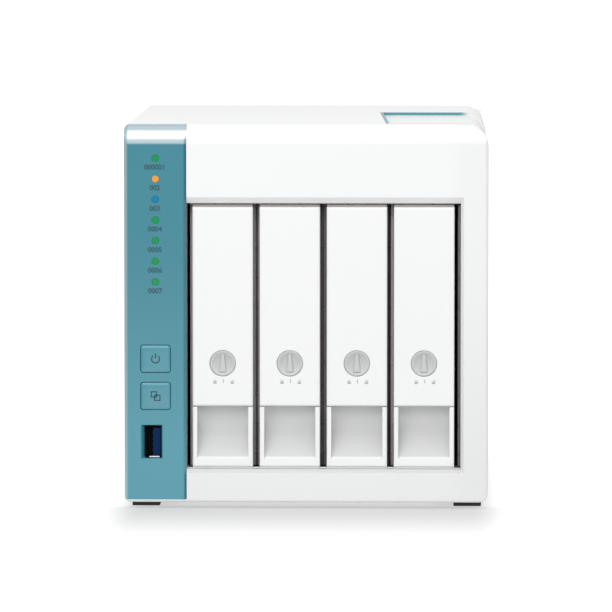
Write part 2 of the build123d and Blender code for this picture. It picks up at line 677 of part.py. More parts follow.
def hinge_ear():
    """Outline of one ear: a round eye on an arm that slopes down to its root."""
    eye = Pos(HINGE_Y, HINGE_Z) * Circle(EAR_R)
    root_high, root_low = HINGE_Z - EAR_ROOT_HIGH, HINGE_Z - EAR_ROOT_LOW
    lean = math.radians(EAR_LEAN_DEG)
    near = (HINGE_Y + EAR_R * math.sin(lean), HINGE_Z + EAR_R * math.cos(lean))
    far = (HINGE_Y - EAR_R * math.cos(lean), HINGE_Z - EAR_R * math.sin(lean))
    arm = Polyline(near, (TRAY_BACK_Y, root_high), (TRAY_BACK_Y, root_low), far, close=True)
    return eye + make_face(arm)


def rail_with_runner(low, high, runner_low, runner_high):
    """One long rail of a tray with its runner."""
    rail = block(-RAIL_W / 2, RAIL_W / 2, TRAY_BACK_Y, DRIVE_Y1, low, high)
    runner = block(-RUNNER_W / 2, RUNNER_W / 2, TRAY_Y1, DRIVE_Y1, runner_low, runner_high)
    return rail + chamfer(runner.edges().filter_by(Axis.Z), RUNNER_W / 4)


def clip_pegs(grow):
    """Pegs that reach from the two clips into the drive's side holes."""
    x = DRIVE_HOLE_UP - DRIVE_T / 2
    pegs = []
    for y in (DRIVE_Y1 - DRIVE_HOLE_BACK, DRIVE_Y1 - DRIVE_HOLE_BACK - DRIVE_HOLE_PITCH):
        for inner, outer in ((DRIVE_Z1 - RAIL_T / 2, DRIVE_Z1 + RAIL_GAP + RAIL_T),
                             (DRIVE_Z0 - RAIL_GAP - RAIL_T, DRIVE_Z0 + RAIL_T / 2)):
            pegs.append(small_z(x, y, inner, outer, DRIVE_HOLE_D - FIT + grow))
    return pegs


def tray_carrier():
    """Tray frame at x = 0: front wall with finger recess, and two long rails."""
    half = TRAY_W / 2
    lower = block(-half, half, TRAY_Y0, TRAY_Y1, TRAY_Z0, RECESS_TOP_Z)
    front_edges = lower.faces().sort_by(Axis.Y)[0].edges().sort_by(Axis.Z)[:-1]
    lower = fillet(front_edges, TRAY_EDGE_R) - finger_scoop()
    carrier = lower + block(-half, half, TRAY_BACK_Y, TRAY_Y1, TRAY_Z0, TRAY_Z1 - FIT)
    top = DRIVE_Z1 + RAIL_GAP
    low = DRIVE_Z0 - RAIL_GAP
    carrier += rail_with_runner(top, top + RAIL_T, top, BAY_Z1 - RUNNER_GAP)
    carrier += rail_with_runner(low - RAIL_T, low, BAY_Z0 + RUNNER_GAP, low)
    ear = hinge_ear()
    for x in (-EAR_X, EAR_X):
        carrier += prism_x(ear, x - EAR_T / 2, x + EAR_T / 2)
    carrier -= prism_x(Pos(HINGE_Y, HINGE_Z) * RegularPolygon(HINGE_PIN_D / 2, SMALL_SIDES,
                                                              major_radius=False), -half, half)
    for peg in clip_pegs(FIT):
        carrier -= peg
    latch_z = LOCK_Z + LOCK_CAM_L / 2
    return carrier - block(-RECESS_W / 4, RECESS_W / 4, TRAY_BACK_Y, TRAY_Y1,
                           latch_z, latch_z + LOCK_CAM_L)


def hinge_pin():
    """Pin of the handle's hinge at x = 0, flush with the handle's sides."""
    half = TRAY_W / 2 - FIT
    return bar_x(HINGE_Y, HINGE_Z, -half, half, HINGE_PIN_D)


def handle_side():
    """Side outline of the handle in Y and Z, round behind its hinge."""
    return framed(TRAY_Y0, HANDLE_Y1, HANDLE_Z0, TRAY_Z1,
                  [(TRAY_Y0, TRAY_Z1, TRAY_EDGE_R), (HANDLE_Y1, TRAY_Z1, HINGE_BELOW_TOP - FIT),
                   (TRAY_Y0, HANDLE_Z0, TRAY_EDGE_R)])


def tray_handle():
    """Tall lever over the tray front: a channel, open at the back."""
    half = TRAY_W / 2
    handle = prism_x(handle_side(), -half, half)
    plan = framed(-half, half, TRAY_Y0, HANDLE_Y1,
                  [(-half, TRAY_Y0, TRAY_EDGE_R), (half, TRAY_Y0, TRAY_EDGE_R)])
    handle &= prism_z(plan, HANDLE_Z0, TRAY_Z1)
    inner = half - HANDLE_WALL
    handle -= block(-inner, inner, TRAY_Y0 + HANDLE_WALL, HANDLE_Y1,
                    HANDLE_Z0 + HANDLE_WALL, TRAY_Z1 - HANDLE_WALL)
    handle -= block(-inner, inner, HINGE_Y - HINGE_PIN_D / 4, HANDLE_Y1,
                    HINGE_Z, TRAY_Z1)
    handle -= bar_x(HINGE_Y, HINGE_Z, -half, half, HINGE_PIN_D + 2 * HINGE_PLAY)
    return handle - bar_y(0, LOCK_Z, TRAY_Y0, TRAY_Y0 + HANDLE_WALL, LOCK_D + SLIDE_GAP)


def tray_lock():
    """Turning lock at x = 0: dished face with a grip bar, stem and cam."""
    face_y = TRAY_Y0 - LOCK_PROUD
    inner_y = TRAY_Y0 + HANDLE_WALL + FIT / 2
    dial = bar_y(0, LOCK_Z, face_y, inner_y, LOCK_D)
    rim = LOCK_D / 2 - LOCK_RIM
    dish = (Plane.XZ.offset(-face_y) * Pos(0, LOCK_Z) * Circle(rim),
            Plane.XZ.offset(-face_y - LOCK_DISH) * Pos(0, LOCK_Z) * Circle(rim - LOCK_DISH))
    dial -= loft(dish)
    dial += block(-LOCK_BAR_W / 2, LOCK_BAR_W / 2, face_y + FIT, inner_y,
                  LOCK_Z - rim, LOCK_Z + rim)
    collar = small_y(0, LOCK_Z, inner_y, inner_y + LOCK_COLLAR, LOCK_D + 2 * LOCK_COLLAR)
    cam_y = HANDLE_Y1 - LOCK_CAM_T
    stem = small_y(0, LOCK_Z, inner_y, HANDLE_Y1, LOCK_STEM_D)
    cam = block(-LOCK_CAM_W / 2, LOCK_CAM_W / 2, cam_y, HANDLE_Y1, LOCK_Z,
                LOCK_Z + LOCK_CAM_L)
    cam = chamfer(cam.faces().sort_by(Axis.Z)[-1].edges().filter_by(Axis.Y), LOCK_CAM_W / 3)
    return dial + collar + stem + cam


def drive_clips():
    """Two strips that snap over the rails, with pegs into the drive."""
    x = DRIVE_HOLE_UP - DRIVE_T / 2
    y1 = DRIVE_Y1 - DRIVE_HOLE_BACK + CLIP_END
    y0 = DRIVE_Y1 - DRIVE_HOLE_BACK - DRIVE_HOLE_PITCH - CLIP_END
    top = DRIVE_Z1 + RAIL_GAP + RAIL_T
    low = DRIVE_Z0 - RAIL_GAP - RAIL_T
    upper = block(x - CLIP_W / 2, x + CLIP_W / 2, y0, y1, top, top + CLIP_T)
    lower = block(x - CLIP_W / 2, x + CLIP_W / 2, y0, y1, low - CLIP_T, low)
    for peg in clip_pegs(0):
        if peg.center().Z > (DRIVE_Z0 + DRIVE_Z1) / 2:
            upper += peg
        else:
            lower += peg
    return group([upper, lower])


def socket_space(grow, y0, y1):
    """Block of the drive socket, grown by a clearance, from y0 to y1."""
    x = SOCKET_UP - DRIVE_T / 2
    z0 = DRIVE_Z0 + SOCKET_Z_SET
    return block(x - SOCKET_T / 2 - grow, x + SOCKET_T / 2 + grow, y0, y1,
                 z0 - grow, z0 + SOCKET_W + grow)


def drive_unit():
    """Hard drive at x = 0, lying on its side with its circuit board facing -X."""
    half = DRIVE_T / 2
    body = block(-half, half - DRIVE_LID_T, DRIVE_Y0, DRIVE_Y1, DRIVE_Z0, DRIVE_Z1)
    body = fillet(body.edges().filter_by(Axis.X), DRIVE_CORNER_R)
    lid = block(half - DRIVE_LID_T, half, DRIVE_Y0 + DRIVE_EDGE, DRIVE_Y1 - DRIVE_EDGE,
                DRIVE_Z0 + DRIVE_EDGE, DRIVE_Z1 - DRIVE_EDGE)
    body += chamfer(lid.edges().filter_by(Axis.X), DRIVE_CORNER_R)
    middle_z = (DRIVE_Z0 + DRIVE_Z1) / 2
    motor = bar_x((DRIVE_Y0 + DRIVE_Y1) / 2 - DRIVE_MOTOR_D / 2, middle_z,
                  -half, DRIVE_LID_T - half, DRIVE_MOTOR_D)
    body -= motor
    for peg in clip_pegs(FIT):
        body -= peg
    return body - socket_space(SLIDE_GAP, DRIVE_Y1 - SOCKET_REACH - SLIDE_GAP, DRIVE_Y1)


def drive_socket():
    """Socket at x = 0 on the backplane that the drive pushes on to."""
    nose = socket_space(0, DRIVE_Y1 - SOCKET_REACH, BACKPLANE_Y0)
    base = socket_space(SLIDE_GAP, BACKPLANE_Y0 - PLUG_GAP / 2, BACKPLANE_Y0)
    return nose + base


# ---------------------------------------------------- cage, base and back
def cage_sides():
    """Side plates of the cage on turned-out feet, the left one and the right one."""
    sides = []
    for x0, x1, out in ((CAGE_X0, BAY_X0, CAGE_X0 - CAGE_FOOT_W),
                        (BAY_X1, CAGE_X1, CAGE_X1 + CAGE_FOOT_W)):
        side = block(x0, x1, SEAM_Y, BACKPLANE_Y0, BASE_Z1, CAGE_Z1)
        side += block(min(x0, out), max(x1, out), SEAM_Y, BACKPLANE_Y0,
                      BASE_Z1, BASE_Z1 + SHEET)
        for x, y in cage_screw_places():
            side -= small_z(x, y, BASE_Z1, BASE_Z1 + SHEET, SCREW_D)
        sides.append(side)
    left, right = sides
    for y, z in standoff_places():
        left += small_x(y, z, MAIN_X1, CAGE_X0, STANDOFF_D)
        left -= small_x(y, z, MAIN_X1, BAY_X0, SCREW_D)
    return [left, right - cage_vents()]


def cage_deck(low, high, guide_low, guide_high, lug_z):
    """Floor or roof of the cage with its runner guides and backplane lugs."""
    deck = block(BAY_X0, BAY_X1, SEAM_Y, BACKPLANE_Y0, low, high)
    guide_y1 = DRIVE_Y1 - RUNNER_W
    offset = RUNNER_W / 2 + SLIDE_GAP + RIB_T / 2
    for tray_x in TRAY_XS:
        for x in (tray_x - offset, tray_x + offset):
            deck += block(x - RIB_T / 2, x + RIB_T / 2, SEAM_Y, guide_y1,
                          guide_low, guide_high)
    for x, z in lug_places():
        if z == lug_z:
            deck += block(x - LUG_H / 2, x + LUG_H / 2, BACKPLANE_Y0 - SHEET,
                          BACKPLANE_Y0, z - LUG_H / 2, z + LUG_H / 2)
            deck -= small_y(x, z, BACKPLANE_Y0 - SHEET, BACKPLANE_Y0, SCREW_D)
    return deck


def drive_cage():
    """Steel cage round the trays: two sides, floor, roof and three short dividers."""
    plates = cage_sides()
    plates.append(cage_deck(CAGE_Z0, BAY_Z0, BAY_Z0, BAY_Z0 + RIB_H, CAGE_Z0 - LUG_H / 2))
    plates.append(cage_deck(BAY_Z1, CAGE_Z1, BAY_Z1 - RIB_H, BAY_Z1, CAGE_Z1 + LUG_H / 2))
    for left_x in TRAY_XS[:-1]:
        x = left_x + TRAY_PITCH / 2
        plates.append(block(x - SHEET / 2, x + SHEET / 2, SEAM_Y, SEAM_Y + DIVIDER_L,
                            BAY_Z0, BAY_Z1))
    return group(plates)


def cage_vents():
    """Air slots in the cage's right wall."""
    slots = []
    middle_y = (SEAM_Y + BACKPLANE_Y0) / 2
    for row in range(CAGE_VENT_ROWS):
        z = (BAY_Z0 + BAY_Z1) / 2 + (row - (CAGE_VENT_ROWS - 1) / 2) * CAGE_VENT_PITCH
        slots.append(block(BAY_X1, CAGE_X1, middle_y - CAGE_VENT_L / 2,
                           middle_y + CAGE_VENT_L / 2, z - CAGE_VENT_W / 2,
                           z + CAGE_VENT_W / 2))
    return group(slots)


def base_plate():
    """Bottom sheet with turned-up edges, on the cover's lower lips."""
    half = HALF_W - COVER_WALL - FIT
    rise = BASE_RISE
    y0, y1 = SEAM_Y, REAR_Y0
    plate = block(-half, half, y0, y1, BASE_Z0, BASE_Z1 + rise)
    plate -= block(SHEET - half, half - SHEET, y0, y1, BASE_Z1, BASE_Z1 + rise)
    plate -= block(-half, half, y1 - SHEET, y1, BASE_Z1, BASE_Z1 + rise)
    for x, radius in ((half, BOTTOM_RIGHT_R), (-half, BOTTOM_LEFT_R)):
        edge = plate.edges().filter_by(Axis.Y).sort_by_distance((x, 0, BASE_Z0))[0]
        plate = fillet(edge, radius - COVER_WALL + FIT)
    slots = []
    for column in range(BASE_VENT_COUNT):
        x = (column - (BASE_VENT_COUNT - 1) / 2) * BASE_VENT_PITCH
        for row in range(BASE_VENT_ROWS):
            y = (y0 + y1) / 2 + (row - (BASE_VENT_ROWS - 1) / 2) * BASE_VENT_STEP
            slots.append(block(x - BASE_VENT_W / 2, x + BASE_VENT_W / 2, y - BASE_VENT_L / 2,
                               y + BASE_VENT_L / 2, BASE_Z0, BASE_Z1))
    plate -= group(slots)
    for x, y in FOOT_PLACES:
        plate -= small_z(x, y, BASE_Z0, BASE_Z1, FOOT_STEM_D)
    return plate


def corner_places(x, z, pitch_x, pitch_z):
    """Four places in X and Z about a middle point."""
    return [(x + sx * pitch_x / 2, z + sz * pitch_z / 2) for sx in (-1, 1) for sz in (-1, 1)]


def fan_screw_places():
    """Middles of the four fan screws."""
    return corner_places(FAN_X, FAN_Z, FAN_HOLE_PITCH, FAN_HOLE_PITCH)


def case_screw_places():
    """Middles of the screws that hold the cover to the rear panel."""
    side = HALF_W - COVER_WALL - CASE_SCREW_SET
    high = UNIT_H - COVER_WALL - CASE_SCREW_SET
    low = BASE_Z1 + CASE_SCREW_SET
    return [(-side, high), (side, high), (side, low), (-side, low)]


def rear_panel():
    """Rear sheet with the fan hole, the socket windows and a lock slot."""
    panel = prism_y(case_section(COVER_WALL + FIT), REAR_Y0, REAR_Y1)
    panel -= block(-HALF_W, HALF_W, REAR_Y0, REAR_Y1, 0, BASE_Z1)
    panel -= bar_y(FAN_X, FAN_Z, REAR_Y0, REAR_Y1, FAN_BORE - FIT)
    for x, z in fan_screw_places():
        panel -= small_y(x, z, REAR_Y0, REAR_Y1, FAN_HOLE_D)
    for x, z in case_screw_places():
        panel -= small_y(x, z, REAR_Y0, REAR_Y1, SCREW_D)
    for z in NETWORK_ZS:
        panel -= jack_window(NETWORK_OUT, NETWORK_W, z, FIT)
    for z in REAR_USB_ZS:
        panel -= jack_window(USB_W + 2 * USB_STAND, USB_H, z, FIT)
    panel -= jack_window(POWER_OUT, POWER_W, POWER_IN_Z, FIT)
    panel -= small_y(RESET_X, RESET_Z, REAR_Y0, REAR_Y1, RESET_D + 2 * SLIDE_GAP)
    return panel - block(SECURITY_X - SECURITY_W / 2, SECURITY_X + SECURITY_W / 2,
                         REAR_Y0, REAR_Y1,
                         SECURITY_Z - SECURITY_H / 2, SECURITY_Z + SECURITY_H / 2)


def jack_window(out, width, z, grow):
    """Window in the rear panel for a socket on the main board."""
    return block(MAIN_X0 - out - grow, MAIN_X0 + grow, REAR_Y0, REAR_Y1,
                 z - width / 2 - grow, z + width / 2 + grow)


def case_lugs():
    """Lugs inside the cover that the rear screws go into."""
    lugs = []
    for x, z in case_screw_places():
        wall = math.copysign(HALF_W - COVER_WALL, x)
        inner = math.copysign(HALF_W - COVER_WALL - 2 * CASE_SCREW_SET, x)
        lug = block(min(wall, inner), max(wall, inner), REAR_Y0 - SHEET, REAR_Y0,
                    z - CASE_SCREW_SET, z + CASE_SCREW_SET)
        lugs.append(lug - small_y(x, z, REAR_Y0 - SHEET, REAR_Y0, SCREW_D))
    return lugs


def hex_centres(radius, pitch):
    """Centres of a honeycomb that fits within a radius."""
    rows = int(radius / (pitch * math.sqrt(3) / 2))
    places = []
    for row in range(-rows, rows + 1):
        z = row * pitch * math.sqrt(3) / 2
        shift = pitch / 2 if row % 2 else 0
        count = int(radius / pitch) + 1
        for column in range(-count, count + 1):
            x = column * pitch + shift
            if math.hypot(x, z) <= radius:
                places.append((x, z))
    return places


def fan_guard():
    """Honeycomb sheet between the fan and the rear panel."""
    sheet = Pos(FAN_X, FAN_Z) * RectangleRounded(FAN_SIZE, FAN_SIZE, FAN_CORNER_R)
    hexagon = RegularPolygon(GUARD_HOLE / 2, HEX_SIDES, major_radius=False, rotation=30)
    reach = FAN_BORE / 2 - GUARD_EDGE
    holes = [Pos(FAN_X + x, FAN_Z + z) * hexagon
             for x, z in hex_centres(reach, GUARD_HOLE + GUARD_WEB)]
    holes += [Pos(x, z) * RegularPolygon(FAN_HOLE_D / 2, SMALL_SIDES)
              for x, z in fan_screw_places()]
    return prism_y(sheet - holes, GUARD_Y0, REAR_Y0)


def fan_frame():
    """Square fan frame with a round duct, four struts and a motor mount."""
    plate = Pos(FAN_X, FAN_Z) * RectangleRounded(FAN_SIZE, FAN_SIZE, FAN_CORNER_R)
    frame = prism_y(plate, FAN_Y0, GUARD_Y0)
    frame -= bar_y(FAN_X, FAN_Z, FAN_Y0, GUARD_Y0, FAN_BORE)
    for x, z in fan_screw_places():
        frame -= small_y(x, z, FAN_Y0, GUARD_Y0, FAN_HOLE_D)
    strut_y0 = GUARD_Y0 - FAN_STRUT_T
    frame += bar_y(FAN_X, FAN_Z, strut_y0, GUARD_Y0, FAN_HUB_D)
    strut = block(FAN_HUB_D / 2 - OVERLAP, FAN_BORE / 2 + OVERLAP, strut_y0, GUARD_Y0,
                  -FAN_STRUT_W / 2, FAN_STRUT_W / 2)
    for quarter in range(4):
        frame += Pos(FAN_X, 0, FAN_Z) * Rot(0, 90 * quarter + 45, 0) * strut
    return frame - bar_y(FAN_X, FAN_Z, strut_y0, GUARD_Y0, FAN_SHAFT_D + 2 * HINGE_PLAY)


def blade_section(radius, chord, angle):
    """Cambered blade section across a radius, as a face facing along X."""
    half = chord / 2
    sag = chord * FAN_CAMBER
    upper = ThreePointArc((-half, 0), (0, sag + FAN_BLADE_T / 2), (half, 0))
    lower = ThreePointArc((half, 0), (0, sag - FAN_BLADE_T / 2), (-half, 0))
    face = Rot(0, 0, 90 - angle) * make_face(upper + lower)
    return Plane.YZ.offset(radius) * face


def fan_rotor():
    """Hub with swept, twisted blades, turning about Y."""
    blade_y = (FAN_Y0 + FAN_HUB_END) / 2
    hub = bar_y(0, 0, FAN_Y0 + FAN_TIP_GAP, FAN_HUB_END, FAN_HUB_D)
    hub = chamfer(hub.faces().sort_by(Axis.Y)[0].edges(), FAN_HUB_R)
    shaft = bar_y(0, 0, FAN_HUB_END, GUARD_Y0 - FAN_TIP_GAP / 2, FAN_SHAFT_D)
    root = blade_section(FAN_HUB_D / 2 - OVERLAP, FAN_ROOT_CHORD, FAN_ROOT_ANGLE)
    tip = blade_section(FAN_BORE / 2, FAN_TIP_CHORD, FAN_TIP_ANGLE)
    blade = Pos(0, blade_y, 0) * loft([root, Pos(0, 0, FAN_SWEEP) * tip])
    rotor = hub + shaft
    for turn in range(FAN_BLADES):
        rotor += Rot(0, 360 / FAN_BLADES * turn, 0) * blade
    rotor &= bar_y(0, 0, FAN_Y0, GUARD_Y0, FAN_BORE - 2 * FAN_TIP_GAP)
    return Pos(FAN_X, 0, FAN_Z) * rotor


# ------------------------------------------------------------ main board
def standoff_places():
    """Middles of the main board's screws in Y and Z."""
    front, back = MAIN_Y0 + BOARD_EDGE, BACKPLANE_Y0 - BOARD_EDGE
    low, high = MAIN_Z0 + BOARD_EDGE, MAIN_Z1 - BOARD_EDGE
    return [(y, z) for y in (front, (front + back) / 2, back) for z in (low, high)]


def main_board():
    """Processor board, upright beside the cage, with its small parts."""
    board = block(MAIN_X0, MAIN_X1, MAIN_Y0, MAIN_Y1, MAIN_Z0, MAIN_Z1)
    for y, z in standoff_places():
        board -= small_x(y, z, MAIN_X0, MAIN_X1, SCREW_D)
    board -= block(MAIN_X0, MAIN_X1, BACKPLANE_Y0 - FIT, BACKPLANE_Y1 + FIT,
                   TAB_Z0 - FIT, TAB_Z1 + FIT)
    half = PROCESSOR_SIZE / 2
    board += block(MAIN_X0 - CHIP_H, MAIN_X0, SINK_Y - half, SINK_Y + half,
                   SINK_Z - half, SINK_Z + half)
    for back, up, size, height in BOARD_CHIPS:
        y, z, half = MAIN_Y0 + back, MAIN_Z0 + up, size / 2
        board += block(MAIN_X0 - height, MAIN_X0, y - half, y + half, z - half, z + half)
    return board


def processor_heatsink():
    """Finned heat sink on the processor, its fins along the air flow."""
    base_x = MAIN_X0 - CHIP_H
    half = SINK_SIZE / 2
    sink = block(base_x - SINK_BASE, base_x, SINK_Y - half, SINK_Y + half,
                 SINK_Z - half, SINK_Z + half)
    step = (SINK_SIZE - SINK_FIN_T) / (SINK_FINS - 1)
    for fin in range(SINK_FINS):
        z = SINK_Z - half + fin * step
        sink += block(base_x - SINK_H, base_x - SINK_BASE, SINK_Y - half, SINK_Y + half,
                      z, z + SINK_FIN_T)
    return sink


def memory_module():
    """Small memory card lying in its socket on the main board."""
    x1 = MAIN_X0 - MEMORY_GAP
    card = block(x1 - MEMORY_T, x1, MEMORY_Y, MEMORY_Y + MEMORY_W,
                 MEMORY_Z - MEMORY_L / 2, MEMORY_Z + MEMORY_L / 2)
    chip_l = MEMORY_L / (MEMORY_CHIPS + 1)
    for chip in range(MEMORY_CHIPS):
        z = MEMORY_Z + (chip - (MEMORY_CHIPS - 1) / 2) * chip_l * MEMORY_CHIP_STEP
        card += block(x1 - MEMORY_T - BOARD_T / 2, x1 - MEMORY_T, MEMORY_Y + MEMORY_W / 4,
                      MEMORY_Y + MEMORY_W * 3 / 4, z - chip_l / 2, z + chip_l / 2)
    return card


def memory_socket():
    """Socket that holds the memory card off the main board."""
    back = MAIN_X0 - MEMORY_GAP - MEMORY_T - SHEET
    half = MEMORY_L / 2 + SHEET
    body = block(back, MAIN_X0, MEMORY_Y - MEMORY_SOCKET_W, MEMORY_Y + SHEET,
                 MEMORY_Z - half, MEMORY_Z + half)
    return body - block(MAIN_X0 - MEMORY_GAP - MEMORY_T, MAIN_X0 - MEMORY_GAP, MEMORY_Y,
                        MEMORY_Y + SHEET, MEMORY_Z - MEMORY_L / 2, MEMORY_Z + MEMORY_L / 2)


def network_socket():
    """Network jack at z = 0 with a stepped mouth for the plug and its latch."""
    body = block(MAIN_X0 - NETWORK_OUT, MAIN_X0, REAR_Y1 - NETWORK_L, REAR_Y1,
                 -NETWORK_W / 2, NETWORK_W / 2)
    mouth_x0 = MAIN_X0 - NETWORK_OUT + NETWORK_WALL
    mouth = block(mouth_x0, mouth_x0 + PLUG_H, REAR_Y1 - PLUG_L, REAR_Y1,
                  -PLUG_W / 2, PLUG_W / 2)
    latch = block(mouth_x0 + PLUG_H, mouth_x0 + PLUG_H + PLUG_LATCH_H, REAR_Y1 - PLUG_L,
                  REAR_Y1, -PLUG_LATCH_W / 2, PLUG_LATCH_W / 2)
    return body - mouth - latch


def power_inlet():
    """Round direct-current inlet at its place on the main board."""
    x = MAIN_X0 - POWER_OUT / 2
    body = block(MAIN_X0 - POWER_OUT, MAIN_X0, REAR_Y1 - POWER_L, REAR_Y1,
                 POWER_IN_Z - POWER_W / 2, POWER_IN_Z + POWER_W / 2)
    body -= bar_y(x, POWER_IN_Z, REAR_Y1 - POWER_DEPTH, REAR_Y1, POWER_BORE)
    return body + bar_y(x, POWER_IN_Z, REAR_Y1 - POWER_DEPTH, REAR_Y1 - SHEET, POWER_PIN_D)


def backplane_connector():
    """Edge socket on the main board that takes the backplane's tab."""
    tab_x = MAIN_X0 - TAB_REACH
    body = block(tab_x - SHEET, MAIN_X0, BACKPLANE_Y0 - TAB_WALL, BACKPLANE_Y1 + TAB_WALL,
                 TAB_Z0 - TAB_WALL, TAB_Z1 + TAB_WALL)
    return body - block(tab_x, MAIN_X0, BACKPLANE_Y0 - FIT / 2, BACKPLANE_Y1 + FIT / 2,
                        TAB_Z0 - FIT / 2, TAB_Z1 + FIT / 2)


def lug_places():
    """Middles of the screws that hold the backplane to the cage."""
    xs = (CAGE_X0 + TRAY_PITCH / 2, CAGE_X1 - TRAY_PITCH / 2)
    return [(x, z) for x in xs for z in (CAGE_Z0 - LUG_H / 2, CAGE_Z1 + LUG_H / 2)]


def backplane_board():
    """Upright board across the back of the cage, open between the sockets."""
    board = block(CAGE_X0, CAGE_X1, BACKPLANE_Y0, BACKPLANE_Y1, CAGE_Z0 - LUG_H,
                  CAGE_Z1 + LUG_H)
    board += block(MAIN_X0 - TAB_REACH, CAGE_X0, BACKPLANE_Y0, BACKPLANE_Y1, TAB_Z0, TAB_Z1)
    window_z0 = DRIVE_Z0 + SOCKET_Z_SET + SOCKET_W + BOARD_EDGE
    for tray_x in TRAY_XS:
        window = block(tray_x - BACKPLANE_WINDOW / 2, tray_x + BACKPLANE_WINDOW / 2,
                       BACKPLANE_Y0, BACKPLANE_Y1, window_z0, BAY_Z1 - BOARD_EDGE)
        board -= window
    for x, z in lug_places():
        board -= small_y(x, z, BACKPLANE_Y0, BACKPLANE_Y1, SCREW_D)
    return board


def reset_button():
    """Small plunger through the rear panel, with a collar inside."""
    back_y = MAIN_Y1 + RESET_TRAVEL + SLIDE_GAP / 2
    plunger = small_y(RESET_X, RESET_Z, back_y, REAR_Y1, RESET_D)
    return plunger + small_y(RESET_X, RESET_Z, REAR_Y0 - BUTTON_PLAY - RESET_COLLAR,
                             REAR_Y0 - BUTTON_PLAY, RESET_D + 4 * SLIDE_GAP)


def reset_switch():
    """Switch on the main board behind the reset plunger."""
    half = SWITCH_SIZE / 2
    return block(RESET_X - half, MAIN_X0, MAIN_Y1 - SWITCH_SIZE, MAIN_Y1,
                 RESET_Z - half, RESET_Z + half)


def foot():
    """Rubber foot below the origin of its stem, with the stem through two sheets."""
    pad = bar_z(0, 0, 0, FOOT_H, FOOT_D)
    pad = chamfer(pad.faces().sort_by(Axis.Z)[0].edges(), FOOT_CHAMFER)
    return pad + small_z(0, 0, FOOT_H, BASE_Z1, FOOT_STEM_D)


def screw_y(x, z, head_y, length):
    """Hexagon-headed screw driven along -Y, its head standing behind the plane head_y."""
    head = prism_y(Pos(x, z) * RegularPolygon(SCREW_HEAD_D / 2, HEX_SIDES), head_y, head_y + SCREW_HEAD_H)
    return head + small_y(x, z, head_y - length, head_y, SCREW_D)


def fan_screw(x, z):
    """Coarse screw through rear panel and guard into the fan frame."""
    return screw_y(x, z, REAR_Y1, 2 * SHEET + FAN_GRIP)


def board_screw(y, z):
    """Screw through the main board into a post on the cage."""
    head = small_x(y, z, MAIN_X0 - SCREW_HEAD_H, MAIN_X0, STANDOFF_D)
    return head + small_x(y, z, MAIN_X0, CAGE_X0, SCREW_D)


def cage_screw_places():
    """Middles of the screws through the cage's feet in X and Y."""
    xs = (CAGE_X0 - CAGE_FOOT_W / 2, CAGE_X1 + CAGE_FOOT_W / 2)
    ys = (SEAM_Y + TRAY_PITCH, BACKPLANE_Y0 - TRAY_PITCH)
    return [(x, y) for x in xs for y in ys]


def cage_screw(x, y):
    """Screw through a cage foot into the base plate."""
    head_z = BASE_Z1 + SHEET
    head = small_z(x, y, head_z, head_z + SCREW_HEAD_H, STANDOFF_D)
    return head + small_z(x, y, BASE_Z0, head_z, SCREW_D)


# ------------------------------------------------------------- assembly
def enclosure_nodes():
    """Everything that stays with the case."""
    cover = outer_cover()
    for lug in case_lugs():
        cover += lug
    base = base_plate()
    for x, y in cage_screw_places():
        base -= small_z(x, y, BASE_Z0, BASE_Z1, SCREW_D)
    rear_usb_x = MAIN_X0 - USB_STAND - USB_W / 2
    usb_places = [Pos(FRONT_USB_X, FRONT_Y + USB_MOUTH_SET, FRONT_USB_Z)]
    usb_places += [Pos(rear_usb_x, REAR_Y1, z) * Rot(0, 0, 180) for z in REAR_USB_ZS]
    return {
        "outer_cover": cover,
        "accent_inlay": accent_inlay(),
        "front_bezel": front_bezel(),
        "status_panel": status_panel(),
        "base_plate": base,
        "rear_panel": rear_panel(),
        "drive_cage": drive_cage(),
        "feet": copies(foot(), FOOT_PLACES),
        "light_pipes_green": group([light_pipe(z) for z in LED_ZS[:1] + LED_ZS[3:]]),
        "light_pipe_amber": light_pipe(LED_ZS[1]),
        "light_pipe_blue": light_pipe(LED_ZS[2]),
        "indicator_board": indicator_board(),
        "button_switches": group([button_switch(z) for z in (POWER_Z, COPY_Z)]),
        "usb_shells": group([place * usb_shell() for place in usb_places]),
        "usb_tongues": group([place * usb_tongue() for place in usb_places]),
        "main_board": main_board(),
        "processor_heatsink": processor_heatsink(),
        "memory_module": memory_module(),
        "memory_socket": memory_socket(),
        "network_sockets": copies(network_socket(), [(0, 0, z) for z in NETWORK_ZS]),
        "power_inlet": power_inlet(),
        "reset_switch": reset_switch(),
        "backplane_board": backplane_board(),
        "backplane_connector": backplane_connector(),
        "drive_sockets": copies(drive_socket(), [(x, 0, 0) for x in TRAY_XS]),
        "fan_frame": fan_frame(),
        "fan_guard": fan_guard(),
        "fan_screws": group([fan_screw(x, z) for x, z in fan_screw_places()]),
        "case_screws": group([screw_y(x, z, REAR_Y1, 2 * SHEET)
                              for x, z in case_screw_places()]),
        "backplane_screws": group([screw_y(x, z, BACKPLANE_Y1, BOARD_T + SHEET)
                                   for x, z in lug_places()]),
        "board_screws": group([board_screw(y, z) for y, z in standoff_places()]),
        "cage_screws": group([cage_screw(x, y) for x, y in cage_screw_places()]),
    }


def moving_nodes():
    """Keys, fan rotor, and for every bay the tray, handle, lock and drive."""
    nodes = {
        "power_button": push_button(POWER_Z),
        "copy_button": push_button(COPY_Z),
        "reset_button": reset_button(),
        "fan_rotor": fan_rotor(),
    }
    tray_parts = {
        "carrier": tray_carrier(),
        "handle": tray_handle(),
        "hinge_pin": hinge_pin(),
        "lock": tray_lock(),
        "drive_clips": drive_clips(),
        "hard_drive": drive_unit(),
    }
    for bay, x in enumerate(TRAY_XS, start=1):
        for name, piece in tray_parts.items():
            nodes[f"tray_{bay}_{name}"] = Pos(x, 0, 0) * piece
    return nodes


